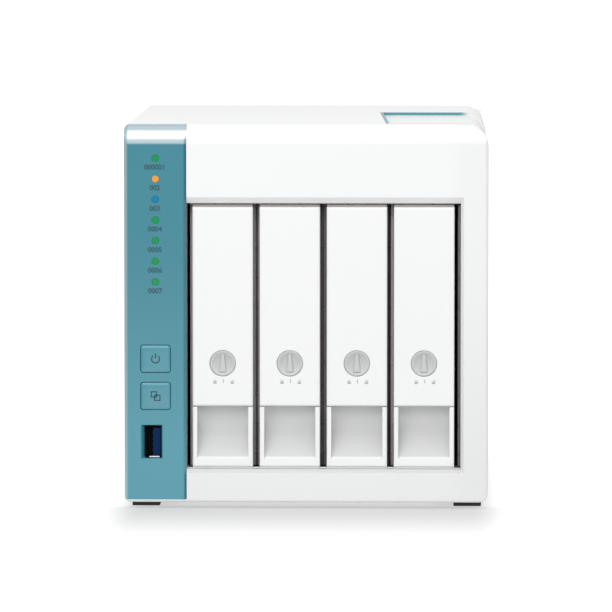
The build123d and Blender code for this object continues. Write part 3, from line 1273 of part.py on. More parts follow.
def main():
    """Write one STEP file for each node."""
    os.makedirs("parts", exist_ok=True)
    nodes = enclosure_nodes() | moving_nodes()
    for name, shape in nodes.items():
        export_step(shape, f"parts/{name}.step")


if __name__ == "__main__":
    main()
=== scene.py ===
"""Looks of the four-bay network storage unit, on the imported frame, in metres."""
import json
import math

import bmesh
import bpy
from mathutils import Matrix, Vector

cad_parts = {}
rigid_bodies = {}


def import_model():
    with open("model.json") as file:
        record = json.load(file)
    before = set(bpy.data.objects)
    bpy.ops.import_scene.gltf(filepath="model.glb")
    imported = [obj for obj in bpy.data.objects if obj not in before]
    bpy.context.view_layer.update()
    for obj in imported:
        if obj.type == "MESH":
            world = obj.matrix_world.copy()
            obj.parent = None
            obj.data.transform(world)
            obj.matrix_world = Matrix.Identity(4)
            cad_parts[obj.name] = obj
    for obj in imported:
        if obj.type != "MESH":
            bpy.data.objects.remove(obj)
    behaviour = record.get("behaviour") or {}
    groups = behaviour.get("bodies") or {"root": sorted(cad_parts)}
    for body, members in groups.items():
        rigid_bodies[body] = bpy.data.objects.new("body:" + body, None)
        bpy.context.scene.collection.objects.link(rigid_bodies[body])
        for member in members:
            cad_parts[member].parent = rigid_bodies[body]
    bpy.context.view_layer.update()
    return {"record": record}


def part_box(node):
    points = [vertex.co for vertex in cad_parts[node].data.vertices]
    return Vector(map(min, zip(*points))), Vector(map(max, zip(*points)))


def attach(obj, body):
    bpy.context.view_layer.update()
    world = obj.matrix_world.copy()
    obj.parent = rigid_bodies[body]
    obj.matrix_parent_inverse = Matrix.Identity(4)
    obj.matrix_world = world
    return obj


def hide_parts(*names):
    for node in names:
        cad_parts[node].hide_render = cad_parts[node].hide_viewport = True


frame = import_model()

BAYS = (1, 2, 3, 4)
MM = 0.001  # pieces are laid out in millimetres

# Camera, in metres and degrees.
CAMERA_PLACE = (0.0526, -2.6099, 0.2765)
CAMERA_TURN = (90.0 - 4.276, 0.0, 1.206)
LENS = 335.95

# Brightness of the ground near the unit, far off and under its front, and of the world; the dimmer
# ground near the unit is a painted shadow, the added brightness under its front is painted light.
NEAR_GLOW, FAR_GLOW, UNDER_GLOW = 0.40, 0.74, 0.17
AMBIENT = 0.72

# Tones that several finishes share, and the origin.
WHITE, WHITE_LOW = (0.86, 0.865, 0.865), (0.84, 0.845, 0.845)
PURE_WHITE = (1.0, 1.0, 1.0, 1.0)
ORIGIN = (0.0, 0.0, 0.0)

# Places and sizes in millimetres.
BOLD = 0.11  # weight added to printed numbers
LAMP_TOP, LAMP_PITCH = 2.2, 9.07  # first lamp below the lamps' top, and the next
NUMBER_DROP = 4.0  # from a lamp to its number
LAMP_NUMBERS = ("000001", "002", "003", "0004", "0005", "0006", "0007")
FRONT_SOCKET = (-67.9, 29.48)  # X and Z of its middle
NETWORK_ZS, DATA_ZS = (58.0, 79.0), (100.0, 119.0)
DATA_PITCH, NETWORK_PITCH = 2.3, 1.05  # between contacts
DIAL_DROP = 8.5  # from a lock's top to its middle
MARKS_DROP = 8.1  # from there to the signs below it
FOOT_INSET, FOOT_TOP = 6.15, 5.6
LIP_FOOT, LIP_OVER = 18.3, 1.2  # foot of the side lips, and rise over a handle
SCREW_LENGTH, SCREW_HEAD = 2.2, 1.95
SCREW_SEAT = 107.92  # Y of the rear screws' seats
BOARD_CHIPS = ((-60.0, 70.0, 12.0, 12.0), (-62.0, 100.0, 8.0, 14.0), (20.0, 116.0, 9.0, 9.0),
               (70.0, 44.0, 10.0, 7.0), (66.0, 100.0, 7.0, 7.0), (-20.0, 116.0, 14.0, 6.0))
BOARD_CANS = ((84.0, 34.0), (84.0, 44.5), (76.0, 58.0), (-78.0, 40.0), (-78.0, 50.0),
              (76.0, 118.0))
DRIVE_CHIPS = ((22.0, 62.0, 14.0, 14.0), (20.0, 42.0, 9.0, 12.0), (38.0, 78.0, 8.0, 8.0),
               (14.0, 84.0, 6.0, 5.0), (36.0, 30.0, 7.0, 10.0), (12.0, 24.0, 4.0, 6.0))
# Lips beside each tray's front, toned as painted shade of the gaps: start, reach past the handle
# (minus is left) and finish.
SIDE_LIPS = {1: ((0.1, -1.3, "shade_lip_grey"), (0.1, 1.0, "shade_lip_mid"), (1.05, 1.85, "shade_lip_dark"),
                 (1.9, 2.75, "shade_lip_mid")),
             2: ((0.1, 1.3, "shade_lip_dark"), (1.4, 2.7, "shade_lip_brown")),
             3: ((0.1, 1.0, "shade_lip_black"),),
             4: ((0.1, -1.4, "shade_lip_grey"),)}


# ------ objects and nodes
def new_object(name, data):
    """Object with its data, in the scene."""
    made = bpy.data.objects.new(name, data)
    bpy.context.scene.collection.objects.link(made)
    return made


def make_camera():
    """Long lens at the front, a little above the unit and looking down onto it."""
    data = bpy.data.cameras.new("studio_camera")
    data.sensor_width, data.lens, data.clip_end = 36.0, LENS, 60.0
    camera = new_object("studio_camera", data)
    camera.location = CAMERA_PLACE
    camera.rotation_euler = [math.radians(turn) for turn in CAMERA_TURN]
    bpy.context.scene.camera = camera


def new_material(name, **constants):
    """Material with a Principled shader on its output, and the shader's plain values."""
    material = bpy.data.materials.new(name)
    material.use_nodes = True
    tree = material.node_tree
    tree.nodes.clear()
    output = tree.nodes.new("ShaderNodeOutputMaterial")
    shader = tree.nodes.new("ShaderNodeBsdfPrincipled")
    link(tree, (shader, "BSDF", output, "Surface"))
    for socket, value in constants.items():
        shader.inputs[socket.replace("_", " ")].default_value = value
    return material, tree, shader


def add_node(tree, kind, values=None, **settings):
    """Node with its settings and the given input values."""
    node = tree.nodes.new(kind)
    for key, value in settings.items():
        setattr(node, key, value)
    for key, value in (values or {}).items():
        node.inputs[key].default_value = value
    return node


def link(tree, *joins):
    """Join sockets, each join given as source node, output, target node and input."""
    for source, output, target, entry in joins:
        tree.links.new(source.outputs[output], target.inputs[entry])


def new_group(name, inputs, outputs, kind="ShaderNodeTree"):
    """Node group with named sockets, and the nodes for its inputs and outputs."""
    tree = bpy.data.node_groups.new(name, kind)
    for side, sockets in (("INPUT", inputs), ("OUTPUT", outputs)):
        for socket, value in sockets.items():
            tree.interface.new_socket(socket, in_out=side, socket_type="NodeSocket" + value)
    return tree, tree.nodes.new("NodeGroupInput"), tree.nodes.new("NodeGroupOutput")


def place_group(tree, group, values):
    """Group node in a material with its own values."""
    return add_node(tree, "ShaderNodeGroup", values, node_tree=group)


def object_coordinates(tree):
    """Object coordinates, in metres."""
    return tree.nodes.new("ShaderNodeTexCoord").outputs["Object"]


# ------ shared effects
def moulded_grain():
    """Fine spark-eroded texture of moulded plastic or powder paint."""
    tree, given, out = new_group(
        "moulded_grain", {"Vector": "Vector", "Cells per metre": "Float"}, {"Height": "Float"})
    noise = add_node(tree, "ShaderNodeTexNoise", {"Detail": 3.0, "Roughness": 0.5})
    link(tree, (given, "Vector", noise, "Vector"), (given, "Cells per metre", noise, "Scale"),
         (noise, "Fac", out, "Height"))
    return tree


def tone_drift():
    """Slow drift between two close tones, and a matching drift of roughness."""
    tree, given, out = new_group(
        "tone_drift",
        {"Vector": "Vector", "Tone": "Color", "Second tone": "Color",
         "Cells per metre": "Float", "Roughness low": "Float", "Roughness high": "Float"},
        {"Colour": "Color", "Roughness": "Float"})
    noise = add_node(tree, "ShaderNodeTexNoise", {"Detail": 4.0, "Roughness": 0.55})
    mix = add_node(tree, "ShaderNodeMix", data_type="RGBA")
    ranger = add_node(tree, "ShaderNodeMapRange", {"From Min": 0.3, "From Max": 0.7})
    link(tree, (given, "Vector", noise, "Vector"), (given, "Cells per metre", noise, "Scale"),
         (noise, "Fac", mix, "Factor"), (given, "Tone", mix, "A"),
         (given, "Second tone", mix, "B"), (noise, "Fac", ranger, "Value"),
         (given, "Roughness low", ranger, "To Min"),
         (given, "Roughness high", ranger, "To Max"),
         (mix, "Result", out, "Colour"), (ranger, "Result", out, "Roughness"))
    return tree


def drawn_lines():
    """Long fine lines along one axis, as left by rolling or brushing."""
    tree, given, out = new_group(
        "drawn_lines", {"Vector": "Vector", "Stretch": "Vector"}, {"Height": "Float"})
    scale = add_node(tree, "ShaderNodeVectorMath", operation="MULTIPLY")
    noise = add_node(tree, "ShaderNodeTexNoise", {"Scale": 1.0, "Detail": 5.0, "Roughness": 0.6})
    link(tree, (given, "Vector", scale, 0), (given, "Stretch", scale, 1),
         (scale, "Vector", noise, "Vector"), (noise, "Fac", out, "Height"))
    return tree


def softened_edges():
    """Normal that turns smoothly over sharp edges."""
    tree, given, out = new_group("softened_edges", {"Radius": "Float"}, {"Normal": "Vector"})
    bevel = add_node(tree, "ShaderNodeBevel", samples=4)
    link(tree, (given, "Radius", bevel, "Radius"), (bevel, "Normal", out, "Normal"))
    return tree


GRAIN = moulded_grain()
DRIFT = tone_drift()
LINES = drawn_lines()
EDGES = softened_edges()


# ------ painted light and shade on one piece
def split_place(tree, place):
    """X, Y and Z outputs of the object coordinates."""
    parts = tree.nodes.new("ShaderNodeSeparateXYZ")
    tree.links.new(place, parts.inputs["Vector"])
    return parts.outputs


def ramp(tree, value, start, end, low=0.0, high=1.0):
    """Smooth step of a value, from low at start to high at end, both in mm."""
    step = add_node(tree, "ShaderNodeMapRange", {
        "From Min": start * MM, "From Max": end * MM, "To Min": low, "To Max": high},
        interpolation_type="SMOOTHSTEP")
    tree.links.new(value, step.inputs["Value"])
    return step.outputs["Result"]


def combine(tree, operation, *values):
    """One number from several, by repeated maths."""
    total = values[0]
    for value in values[1:]:
        node = add_node(tree, "ShaderNodeMath", operation=operation)
        tree.links.new(total, node.inputs[0])
        tree.links.new(value, node.inputs[1])
        total = node.outputs["Value"]
    return total


def length_after(tree, place, *steps):
    """Length of a place once each step, an operation and its vector, is taken on it."""
    for operation, vector in steps:
        node = add_node(tree, "ShaderNodeVectorMath", {1: vector}, operation=operation)
        tree.links.new(place, node.inputs[0])
        place = node.outputs["Vector"]
    length = add_node(tree, "ShaderNodeVectorMath", operation="LENGTH")
    tree.links.new(place, length.inputs[0])
    return length.outputs["Value"]


def blend_tone(tree, colour, factor, tone):
    """Colour moved by a factor towards a tone, which is fixed or another node's."""
    mix = add_node(tree, "ShaderNodeMix", data_type="RGBA")
    tree.links.new(factor, mix.inputs["Factor"])
    tree.links.new(colour, mix.inputs["A"])
    if isinstance(tone, tuple):
        mix.inputs["B"].default_value = (*tone, 1.0)
    else:
        tree.links.new(tone, mix.inputs["B"])
    return mix.outputs["Result"]


def scale_tone(tree, colour, factor):
    """Colour made lighter or darker by a factor."""
    scale = add_node(tree, "ShaderNodeVectorMath", operation="SCALE")
    tree.links.new(colour, scale.inputs[0])
    tree.links.new(factor, scale.inputs["Scale"])
    return scale.outputs["Vector"]


def panel_painted_light(tree, place, colour):
    """Panel with painted light and shade: paler towards its foot, a painted highlight down its
    left edge, painted shade on its right edge, and a white painted highlight on its top roll.
    """
    x, _, z = split_place(tree, place)
    # Painted light: the teal grows paler towards the foot.
    colour = scale_tone(tree, colour, ramp(tree, z, 8.0, 110.0, 1.22, 1.0))
    # Painted highlight on the left edge's rounding.
    colour = blend_tone(tree, colour, ramp(tree, x, -79.3, -78.1, 0.30, 0.0), WHITE)
    # Painted shade on the right edge's bevel and beyond it.
    colour = scale_tone(tree, colour, ramp(tree, x, -54.6, -52.8, 1.0, 0.82))
    # Painted highlight: a white band across the front of the top roll, kept off the left edge's
    # rounding.
    rise = combine(tree, "MAXIMUM", ramp(tree, z, 160.2, 161.2, 0.0, 0.40),
                   ramp(tree, z, 161.6, 163.6))
    fall = combine(tree, "MULTIPLY", ramp(tree, z, 166.0, 167.0, 1.0, 0.42),
                   ramp(tree, z, 167.8, 168.8, 1.0, 0.5))
    band = combine(tree, "MULTIPLY", rise, fall, ramp(tree, x, -79.0, -78.2))
    return blend_tone(tree, colour, band, WHITE)


def inlay_painted_reflection(tree, place, colour):
    """Teal walls; a painted reflection that turns the floor white and its front part pale teal,
    and a painted highlight where the corner turns.
    """
    x, y, z = split_place(tree, place)
    reach = length_after(tree, place, ("SUBTRACT", (0.0705, 0.0, 0.1595)), ("MAXIMUM", ORIGIN),
                         ("MULTIPLY", (1.0, 0.0, 1.0)))
    # Painted reflection: the inlay's floor is turned white, and pale teal towards its front.
    floor = ramp(tree, reach, 8.0, 8.35, 1.0, 0.0)
    # Painted highlight where the corner turns down the side.
    turn = combine(tree, "MULTIPLY", ramp(tree, x, 68.0, 73.0), ramp(tree, z, 153.0, 159.0))
    white = combine(tree, "MAXIMUM", floor, turn)
    colour = blend_tone(tree, colour, white, (0.80, 0.81, 0.81))
    front = combine(tree, "MULTIPLY", floor, ramp(tree, y, -76.0, -82.0))
    return blend_tone(tree, colour, front, (0.52, 0.70, 0.74))


def scoop_painted_shade(tree, place, colour):
    """Carrier with painted shade inside its finger scoop, darkest about its middle height."""
    _, y, z = split_place(tree, place)
    deep = combine(tree, "MULTIPLY", ramp(tree, y, -108.2, -107.2), ramp(tree, z, 46.0, 45.0))
    # Painted shade: darkest towards the scoop's middle height, nearly none at its top.
    tone = combine(tree, "MULTIPLY", ramp(tree, z, 22.0, 33.0, 0.76, 0.65),
                   ramp(tree, z, 32.0, 43.0, 1.0, 1.5))
    return blend_tone(tree, colour, deep, scale_tone(tree, colour, tone))


def bezel_painted_shade(tree, place, colour):
    """Bezel with painted shade on the slope below the trays, towards its foot and by its right
    edge.
    """
    x, _, z = split_place(tree, place)
    slope = combine(tree, "MULTIPLY", ramp(tree, z, 15.3, 15.9), ramp(tree, z, 19.0, 18.0),
                    ramp(tree, x, -52.6, -52.0), ramp(tree, x, 68.6, 68.0))
    # Painted shade: darker on the slope, towards the foot and by the right edge.
    tone = combine(tree, "MULTIPLY", ramp(tree, slope, 0.0, 1.0 / MM, 1.0, 0.80),
                   ramp(tree, z, 8.0, 120.0, 0.93, 1.0), ramp(tree, x, 60.0, 72.0, 1.0, 0.965))
    return scale_tone(tree, colour, tone)


# ------ finishes
def add_drift(tree, place, tone, second, cells, rough):
    """Drift between two tones and two roughnesses, laid on a place."""
    drift = place_group(tree, DRIFT, {
        "Tone": (*tone, 1.0), "Second tone": (*second, 1.0), "Cells per metre": cells,
        "Roughness low": rough[0], "Roughness high": rough[1]})
    tree.links.new(place, drift.inputs["Vector"])
    return drift


def textured(name, tone, second, rough, pattern, cells, bump, height, edge=0.0006, tint=None,
             **constants):
    """Surface with a drifting tone, a fine relief and softened edges."""
    material, tree, shader = new_material(name, **constants)
    place = object_coordinates(tree)
    drift = add_drift(tree, place, tone, second, cells, rough)
    relief = add_node(tree, "ShaderNodeBump", {"Strength": bump, "Distance": height})
    texture = place_group(tree, *pattern)
    edges = place_group(tree, EDGES, {"Radius": edge})
    tree.links.new(place, texture.inputs["Vector"])
    link(tree, (texture, "Height", relief, "Height"), (edges, "Normal", relief, "Normal"),
         (relief, "Normal", shader, "Normal"), (drift, "Roughness", shader, "Roughness"))
    colour = drift.outputs["Colour"]
    # Painted light and shade, for the finishes that have it.
    if tint:
        colour = tint(tree, place, colour)
    tree.links.new(colour, shader.inputs["Base Color"])
    return material


def coated(name, tone, second, rough=(0.5, 0.6), grain=2500.0, bump=0.04, **more):
    """Moulded plastic or paint with a fine grain."""
    return textured(name, tone, second, rough, (GRAIN, {"Cells per metre": grain}),
                    cells=12.0, bump=bump, height=0.00004, **more)


def rolled(name, tone, second, rough, stretch):
    """Bare metal with drawn or rolled lines."""
    return textured(name, tone, second, rough, (LINES, {"Stretch": stretch}), cells=20.0,
                    bump=0.12, height=0.00005, edge=0.0004, Metallic=1.0)


def cast(name, tone, second, rough):
    """Cast metal with a coarser grain."""
    return textured(name, tone, second, rough, (GRAIN, {"Cells per metre": 1400.0}),
                    cells=30.0, bump=0.25, height=0.00008, Metallic=1.0)


def light_pipe(name, tone, strength):
    """Clear light pipe, lit from behind."""
    material, tree, shader = new_material(name, Emission_Strength=strength, Coat_Weight=0.15,
                                          Specular_IOR_Level=0.25)
    drift = add_drift(tree, object_coordinates(tree), tone, [0.8 * part for part in tone],
                      400.0, (0.12, 0.2))
    link(tree, (drift, "Colour", shader, "Base Color"),
         (drift, "Colour", shader, "Emission Color"), (drift, "Roughness", shader, "Roughness"))
    return material


# Tone, second tone, range of roughness, grain in cells per metre and strength of its relief.
COATS = {
    "white_plastic": (WHITE, WHITE_LOW, (0.34, 0.42), 2500.0, 0.05),
    "carrier_white_shaded": (WHITE, WHITE_LOW, (0.34, 0.42), 2500.0, 0.05),
    "bezel_white_shaded": (WHITE, WHITE_LOW, (0.34, 0.42), 2500.0, 0.05),
    "white_coat": ((0.85, 0.855, 0.855), (0.83, 0.835, 0.835), (0.38, 0.46), 900.0, 0.08),
    "clip_white": ((0.80, 0.81, 0.81), (0.77, 0.78, 0.78), (0.4, 0.5)),
    "label_white": ((0.80, 0.80, 0.79), (0.76, 0.76, 0.75), (0.45, 0.6), 1800.0, 0.06),
    "lock_grey": ((0.57, 0.58, 0.58), (0.53, 0.54, 0.54), (0.35, 0.45)),
    "teal_plastic": ((0.046, 0.235, 0.300), (0.041, 0.222, 0.286), (0.16, 0.22), 2500.0, 0.02),
    "key_teal": ((0.065, 0.277, 0.348), (0.059, 0.262, 0.332), (0.16, 0.22), 2500.0, 0.02),
    "inlay_teal": ((0.066, 0.285, 0.350), (0.060, 0.270, 0.335), (0.3, 0.4), 2500.0, 0.02),
    "cage_steel": ((0.030, 0.030, 0.031), (0.024, 0.024, 0.025), (0.45, 0.6), 700.0, 0.3),
    "rear_steel": ((0.68, 0.69, 0.69), (0.65, 0.66, 0.66), (0.4, 0.5), 700.0, 0.2),
    "black_rubber": ((0.008, 0.008, 0.009), (0.006, 0.006, 0.007), (0.6, 0.75), 1600.0, 0.3),
    "black_plastic": ((0.014, 0.014, 0.015), (0.010, 0.010, 0.011), (0.35, 0.5), 2500.0, 0.15),
    "fan_black": ((0.020, 0.020, 0.021), (0.015, 0.015, 0.016), (0.4, 0.55), 2500.0, 0.2),
    "port_blue": ((0.012, 0.030, 0.120), (0.010, 0.025, 0.100), (0.35, 0.45), 2500.0, 0.1),
    "board_green": ((0.012, 0.090, 0.045), (0.009, 0.075, 0.038), (0.25, 0.35), 2500.0, 0.05),
    # Black without gloss, partly painted shade of the front socket's hollow.
    "socket_black": ((0.004, 0.004, 0.005), (0.003, 0.003, 0.004), (0.6, 0.7)),
    "tongue_blue": ((0.003, 0.022, 0.080), (0.003, 0.019, 0.070)),
    "socket_blue": ((0.006, 0.024, 0.078), (0.005, 0.020, 0.066)),
    "print_dark": ((0.022, 0.088, 0.112), (0.019, 0.078, 0.100)),
    "print_slate": ((0.10, 0.105, 0.11), (0.085, 0.09, 0.095)),
    "print_grey": ((0.50, 0.50, 0.50), (0.46, 0.46, 0.46)),
    # Painted shade: one brown at falling brightness, for lips that stand in for the shade in the
    # gaps round the trays.
    "shade_lip_grey": ((0.51, 0.474, 0.452), (0.47, 0.438, 0.418)),
    "shade_lip_mid": ((0.40, 0.378, 0.358), (0.36, 0.34, 0.322)),
    "shade_lip_brown": ((0.20, 0.185, 0.175), (0.17, 0.158, 0.15)),
    "shade_lip_dark": ((0.085, 0.08, 0.078), (0.07, 0.066, 0.064)),
    "shade_lip_black": ((0.034, 0.036, 0.037), (0.028, 0.030, 0.031)),
}
# Painted light and shade laid on the colour of some finishes; the carrier's and the bezel's white
# are white_plastic with painted shade.
PAINTED_LIGHT = {"teal_plastic": panel_painted_light, "inlay_teal": inlay_painted_reflection, "carrier_white_shaded": scoop_painted_shade,
         "bezel_white_shaded": bezel_painted_shade}
GLOSS = {"Coat_Weight": 0.3, "Coat_Roughness": 0.08}
SHINE = {"teal_plastic": GLOSS, "key_teal": GLOSS, "socket_black": {"Specular_IOR_Level": 0.0},
         "tongue_blue": {"Specular_IOR_Level": 0.06}, "socket_blue": {"Specular_IOR_Level": 0.2}}
# Tone, second tone, range of roughness and stretch of the drawn lines.
ACROSS, ALONG = (900.0, 40.0, 900.0), (40.0, 900.0, 900.0)
METALS = {
    "zinc_steel": ((0.43, 0.44, 0.45), (0.38, 0.39, 0.405), (0.28, 0.42), ALONG),
    "screw_steel": ((0.58, 0.58, 0.57), (0.50, 0.50, 0.50), (0.22, 0.34),
                    (900.0, 900.0, 900.0)),
    "port_steel": ((0.52, 0.52, 0.51), (0.46, 0.46, 0.455), (0.2, 0.3), ACROSS),
    "shell_steel": ((0.34, 0.34, 0.335), (0.30, 0.30, 0.295), (0.26, 0.36), ACROSS),
    "heatsink_aluminium": ((0.70, 0.71, 0.72), (0.64, 0.65, 0.66), (0.25, 0.4), ACROSS),
    "contact_gold": ((0.83, 0.60, 0.24), (0.76, 0.53, 0.19), (0.18, 0.3),
                     (900.0, 60.0, 900.0)),
}
# Tone and strength of each light pipe.
LIGHTS = {"light_green": ((0.004, 0.300, 0.075), 0.12),
          "light_amber": ((0.75, 0.33, 0.07), 0.15),
          "light_blue": ((0.004, 0.200, 0.400), 0.12)}


def make_finishes():
    """One material for each slot of the record, and more for the finer pieces."""
    finishes = {name: coated(name, *row, tint=PAINTED_LIGHT.get(name), **SHINE.get(name, {}))
                for name, row in COATS.items()}
    finishes.update({name: rolled(name, *row) for name, row in METALS.items()})
    finishes.update({name: light_pipe(name, *row) for name, row in LIGHTS.items()})
    finishes["drive_cast"] = cast("drive_cast", (0.46, 0.47, 0.48), (0.40, 0.41, 0.42),
                                  (0.38, 0.52))
    return finishes


def dress_nodes():
    """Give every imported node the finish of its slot."""
    special = {"accent_inlay": "inlay_teal", "front_bezel": "bezel_white_shaded",
               "usb_tongues": "socket_blue", "network_sockets": "shell_steel"}
    special.update({f"tray_{bay}_carrier": "carrier_white_shaded" for bay in BAYS})
    for part in frame["record"]["subparts"]:
        name = part["node"]
        for place in bpy.data.objects[name].material_slots:
            place.material = FINISH[special.get(name, part["material_slot"])]


# ------ mesh helpers
def hold(name, builder):
    """Object with a builder's form, which is used up."""
    mesh = bpy.data.meshes.new(name)
    builder.to_mesh(mesh)
    builder.free()
    return new_object(name, mesh)


def take_shape(builder, holder, *others):
    """Give a builder the first holder's finished shape, and remove every holder."""
    graph = bpy.context.evaluated_depsgraph_get()
    mesh = bpy.data.meshes.new_from_object(holder.evaluated_get(graph))
    builder.from_mesh(mesh)
    spent = [mesh]
    for each in (holder, *others):
        spent += [each, each.data]
    bpy.data.batch_remove(spent)


def make_piece(name, builder, finish, body="enclosure", replaced=(), crease=28.0):
    """Turn a builder's form into a piece that rides on a body."""
    bmesh.ops.recalc_face_normals(builder, faces=builder.faces)
    for face in builder.faces:
        face.material_index = 0
    piece = hold(name, builder)
    mesh = piece.data
    mesh.materials.append(FINISH[finish])
    mesh.polygons.foreach_set("use_smooth", [True] * len(mesh.polygons))
    mesh.set_sharp_from_angle(angle=math.radians(crease))
    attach(piece, body)
    if replaced:
        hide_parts(*replaced)


def box_mm(node):
    """Lowest and highest corner of a node at rest, in mm."""
    return [[part / MM for part in corner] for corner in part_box(node)]


def middle_of(node):
    """Middle of a node at rest, in mm."""
    return [(a + b) / 2 / MM for a, b in zip(*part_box(node))]


def add_slab(builder, low, high, edge, steps=2):
    """Block between two corners in mm, its edges rounded."""
    made = bmesh.ops.create_cube(builder, size=1.0)["verts"]
    low, high = Vector(low) * MM, Vector(high) * MM
    for vert in made:
        vert.co = Vector([low[i] if vert.co[i] < 0.0 else high[i] for i in range(3)])
    if edge:
        edges = list({line for vert in made for line in vert.link_edges})
        bmesh.ops.bevel(builder, geom=edges, offset=edge * MM, segments=steps,
                        profile=0.5, affect="EDGES", clamp_overlap=True)


def slab_form(low, high, edge, steps=2):
    """Rounded block on its own, to be set in a row or on a grid."""
    form = bmesh.new()
    add_slab(form, low, high, edge, steps)
    return form


def add_slab_x(builder, x0, x1, y, z, width, height, edge=0.1):
    """Slab from x0 to x1 with its middle at y and z, in mm."""
    add_slab(builder, (x0, y - width / 2, z - height / 2), (x1, y + width / 2, z + height / 2),
             edge)


def join_rings(builder, rings):
    """Faces from each ring of vertices to the next; a ring of one vertex is a pole."""
    for first, second in zip(rings, rings[1:]):
        steps = max(len(first), len(second))
        for step in range(steps):
            after = (step + 1) % steps
            corners = [ring[spot % len(ring)] for ring, spot in
                       ((first, step), (second, step), (second, after), (first, after))]
            builder.faces.new(tuple(dict.fromkeys(corners)))


def add_turned(builder, profile, centre, steps=48, axis="Y"):
    """Closed form turned about an axis: profile of radius and place along it, in mm."""
    order = {"X": (1, 2, 0), "Y": (0, 2, 1), "Z": (0, 1, 2)}[axis]
    side, up, along = [Matrix.Identity(3)[i] for i in order]
    rings = []
    for radius, place in profile:
        middle = Vector(centre) + along * place
        spots = [middle]
        if radius:
            angles = [math.tau * step / steps for step in range(steps)]
            spots = [middle + side * (radius * math.cos(angle)) + up * (radius * math.sin(angle))
                     for angle in angles]
        rings.append([builder.verts.new(spot * MM) for spot in spots])
    join_rings(builder, rings)


def add_loft(builder, rings):
    """Closed form through rings of points in mm, with flat ends."""
    rings = [[builder.verts.new(Vector(spot) * MM) for spot in ring] for ring in rings]
    builder.faces.new(rings[0])
    builder.faces.new(reversed(rings[-1]))
    join_rings(builder, rings)


def add_plate(builder, outline, y0, y1):
    """Flat plate with an outline in X and Z, from y0 to y1, in mm."""
    add_loft(builder, [[(x, y, z) for x, z in outline] for y in (y0, y1)])


def add_bar(builder, x, z, half_x, half_z, y0, y1):
    """Flat upright bar about x and z, from y0 to y1, in mm."""
    add_plate(builder, [(x - half_x, z - half_z), (x + half_x, z - half_z),
                        (x + half_x, z + half_z), (x - half_x, z + half_z)], y0, y1)


def add_arc_band(builder, centre, radius, width, start, end, y0, y1, steps):
    """Flat band along an arc in X and Z, angles in degrees from +X."""
    x, z = centre
    outer, inner = [], []
    for step in range(steps + 1):
        angle = math.radians(start + (end - start) * step / steps)
        for edge, reach in ((outer, radius + width / 2), (inner, radius - width / 2)):
            edge.append((x + reach * math.cos(angle), z + reach * math.sin(angle)))
    for step in range(steps):
        add_plate(builder, [outer[step], outer[step + 1], inner[step + 1], inner[step]], y0, y1)


def rounded_outline(width, height, radius, steps=6):
    """Points of a rounded rectangle about the origin, in mm."""
    points = []
    for corner, (sign_x, sign_z) in enumerate(((1, 1), (-1, 1), (-1, -1), (1, -1))):
        for step in range(steps + 1):
            angle = math.radians(90.0 * (corner + step / steps))
            points.append((sign_x * (width / 2 - radius) + radius * math.cos(angle),
                           sign_z * (height / 2 - radius) + radius * math.sin(angle)))
    return points


def copies_tree():
    """Geometry nodes that set a form on every point, each turned further than the last."""
    tree, given, out = new_group(
        "set_copies",
        {"Points": "Geometry", "Form": "Object", "Turn Step": "Float", "Size": "Float",
         "Finish": "Material"}, {"Copies": "Geometry"}, "GeometryNodeTree")
    form, place, index, turn, solid, paint = [tree.nodes.new(kind) for kind in (
        "GeometryNodeObjectInfo", "GeometryNodeInstanceOnPoints", "GeometryNodeInputIndex",
        "ShaderNodeCombineXYZ", "GeometryNodeRealizeInstances", "GeometryNodeSetMaterial")]
    angle = add_node(tree, "ShaderNodeMath", operation="MULTIPLY")
    link(tree, (given, "Points", place, "Points"), (given, "Form", form, "Object"),
         (form, "Geometry", place, "Instance"), (index, "Index", angle, 0),
         (given, "Turn Step", angle, 1), (angle, "Value", turn, "Y"),
         (turn, "Vector", place, "Rotation"), (given, "Size", place, "Scale"),
         (place, "Instances", solid, "Geometry"), (solid, "Geometry", paint, "Geometry"),
         (given, "Finish", paint, "Material"), (paint, "Geometry", out, "Copies"))
    return tree


def add_copies(builder, form, spots, finish, turn_step=0.0, size=1.0):
    """Copies of a form, which is used up, with its origin on each spot, in mm."""
    mesh = bpy.data.meshes.new("copy_points")
    mesh.from_pydata([Vector(spot) * MM for spot in spots], [], [])
    points, model = new_object("copy_points", mesh), hold("copy_form", form)
    copies = points.modifiers.new("copies", "NODES")
    copies.node_group = COPIES
    values = {"Form": model, "Turn Step": math.radians(turn_step), "Size": size,
              "Finish": FINISH[finish]}
    for socket in COPIES.interface.items_tree:
        if socket.name in values:
            copies[socket.identifier] = values[socket.name]
    take_shape(builder, points, model)


def row_of(spots, axis=2):
    """Spots in a row along one axis through the origin."""
    return [tuple(spot if i == axis else 0.0 for i in range(3)) for spot in spots]


def lettering(name, words, size, place, finish, body="enclosure", turn=0.0):
    """Printed numbers centred on a place and facing -Y, then turned about the unit's middle."""
    curve = bpy.data.curves.new(name, "FONT")
    curve.body, curve.size = words, size * MM
    curve.align_x = curve.align_y = "CENTER"
    curve.extrude, curve.offset, curve.resolution_u = 0.03 * MM, BOLD * MM, 3
    builder = bmesh.new()
    take_shape(builder, new_object(name + "_outline", curve))
    stand = Matrix.Translation(Vector(place) * MM) @ Matrix.Rotation(math.radians(90.0), 4, "X")
    bmesh.ops.transform(builder, verts=builder.verts,
                        matrix=Matrix.Rotation(math.radians(turn), 4, "Z") @ stand)
    make_piece(name, builder, finish, body)


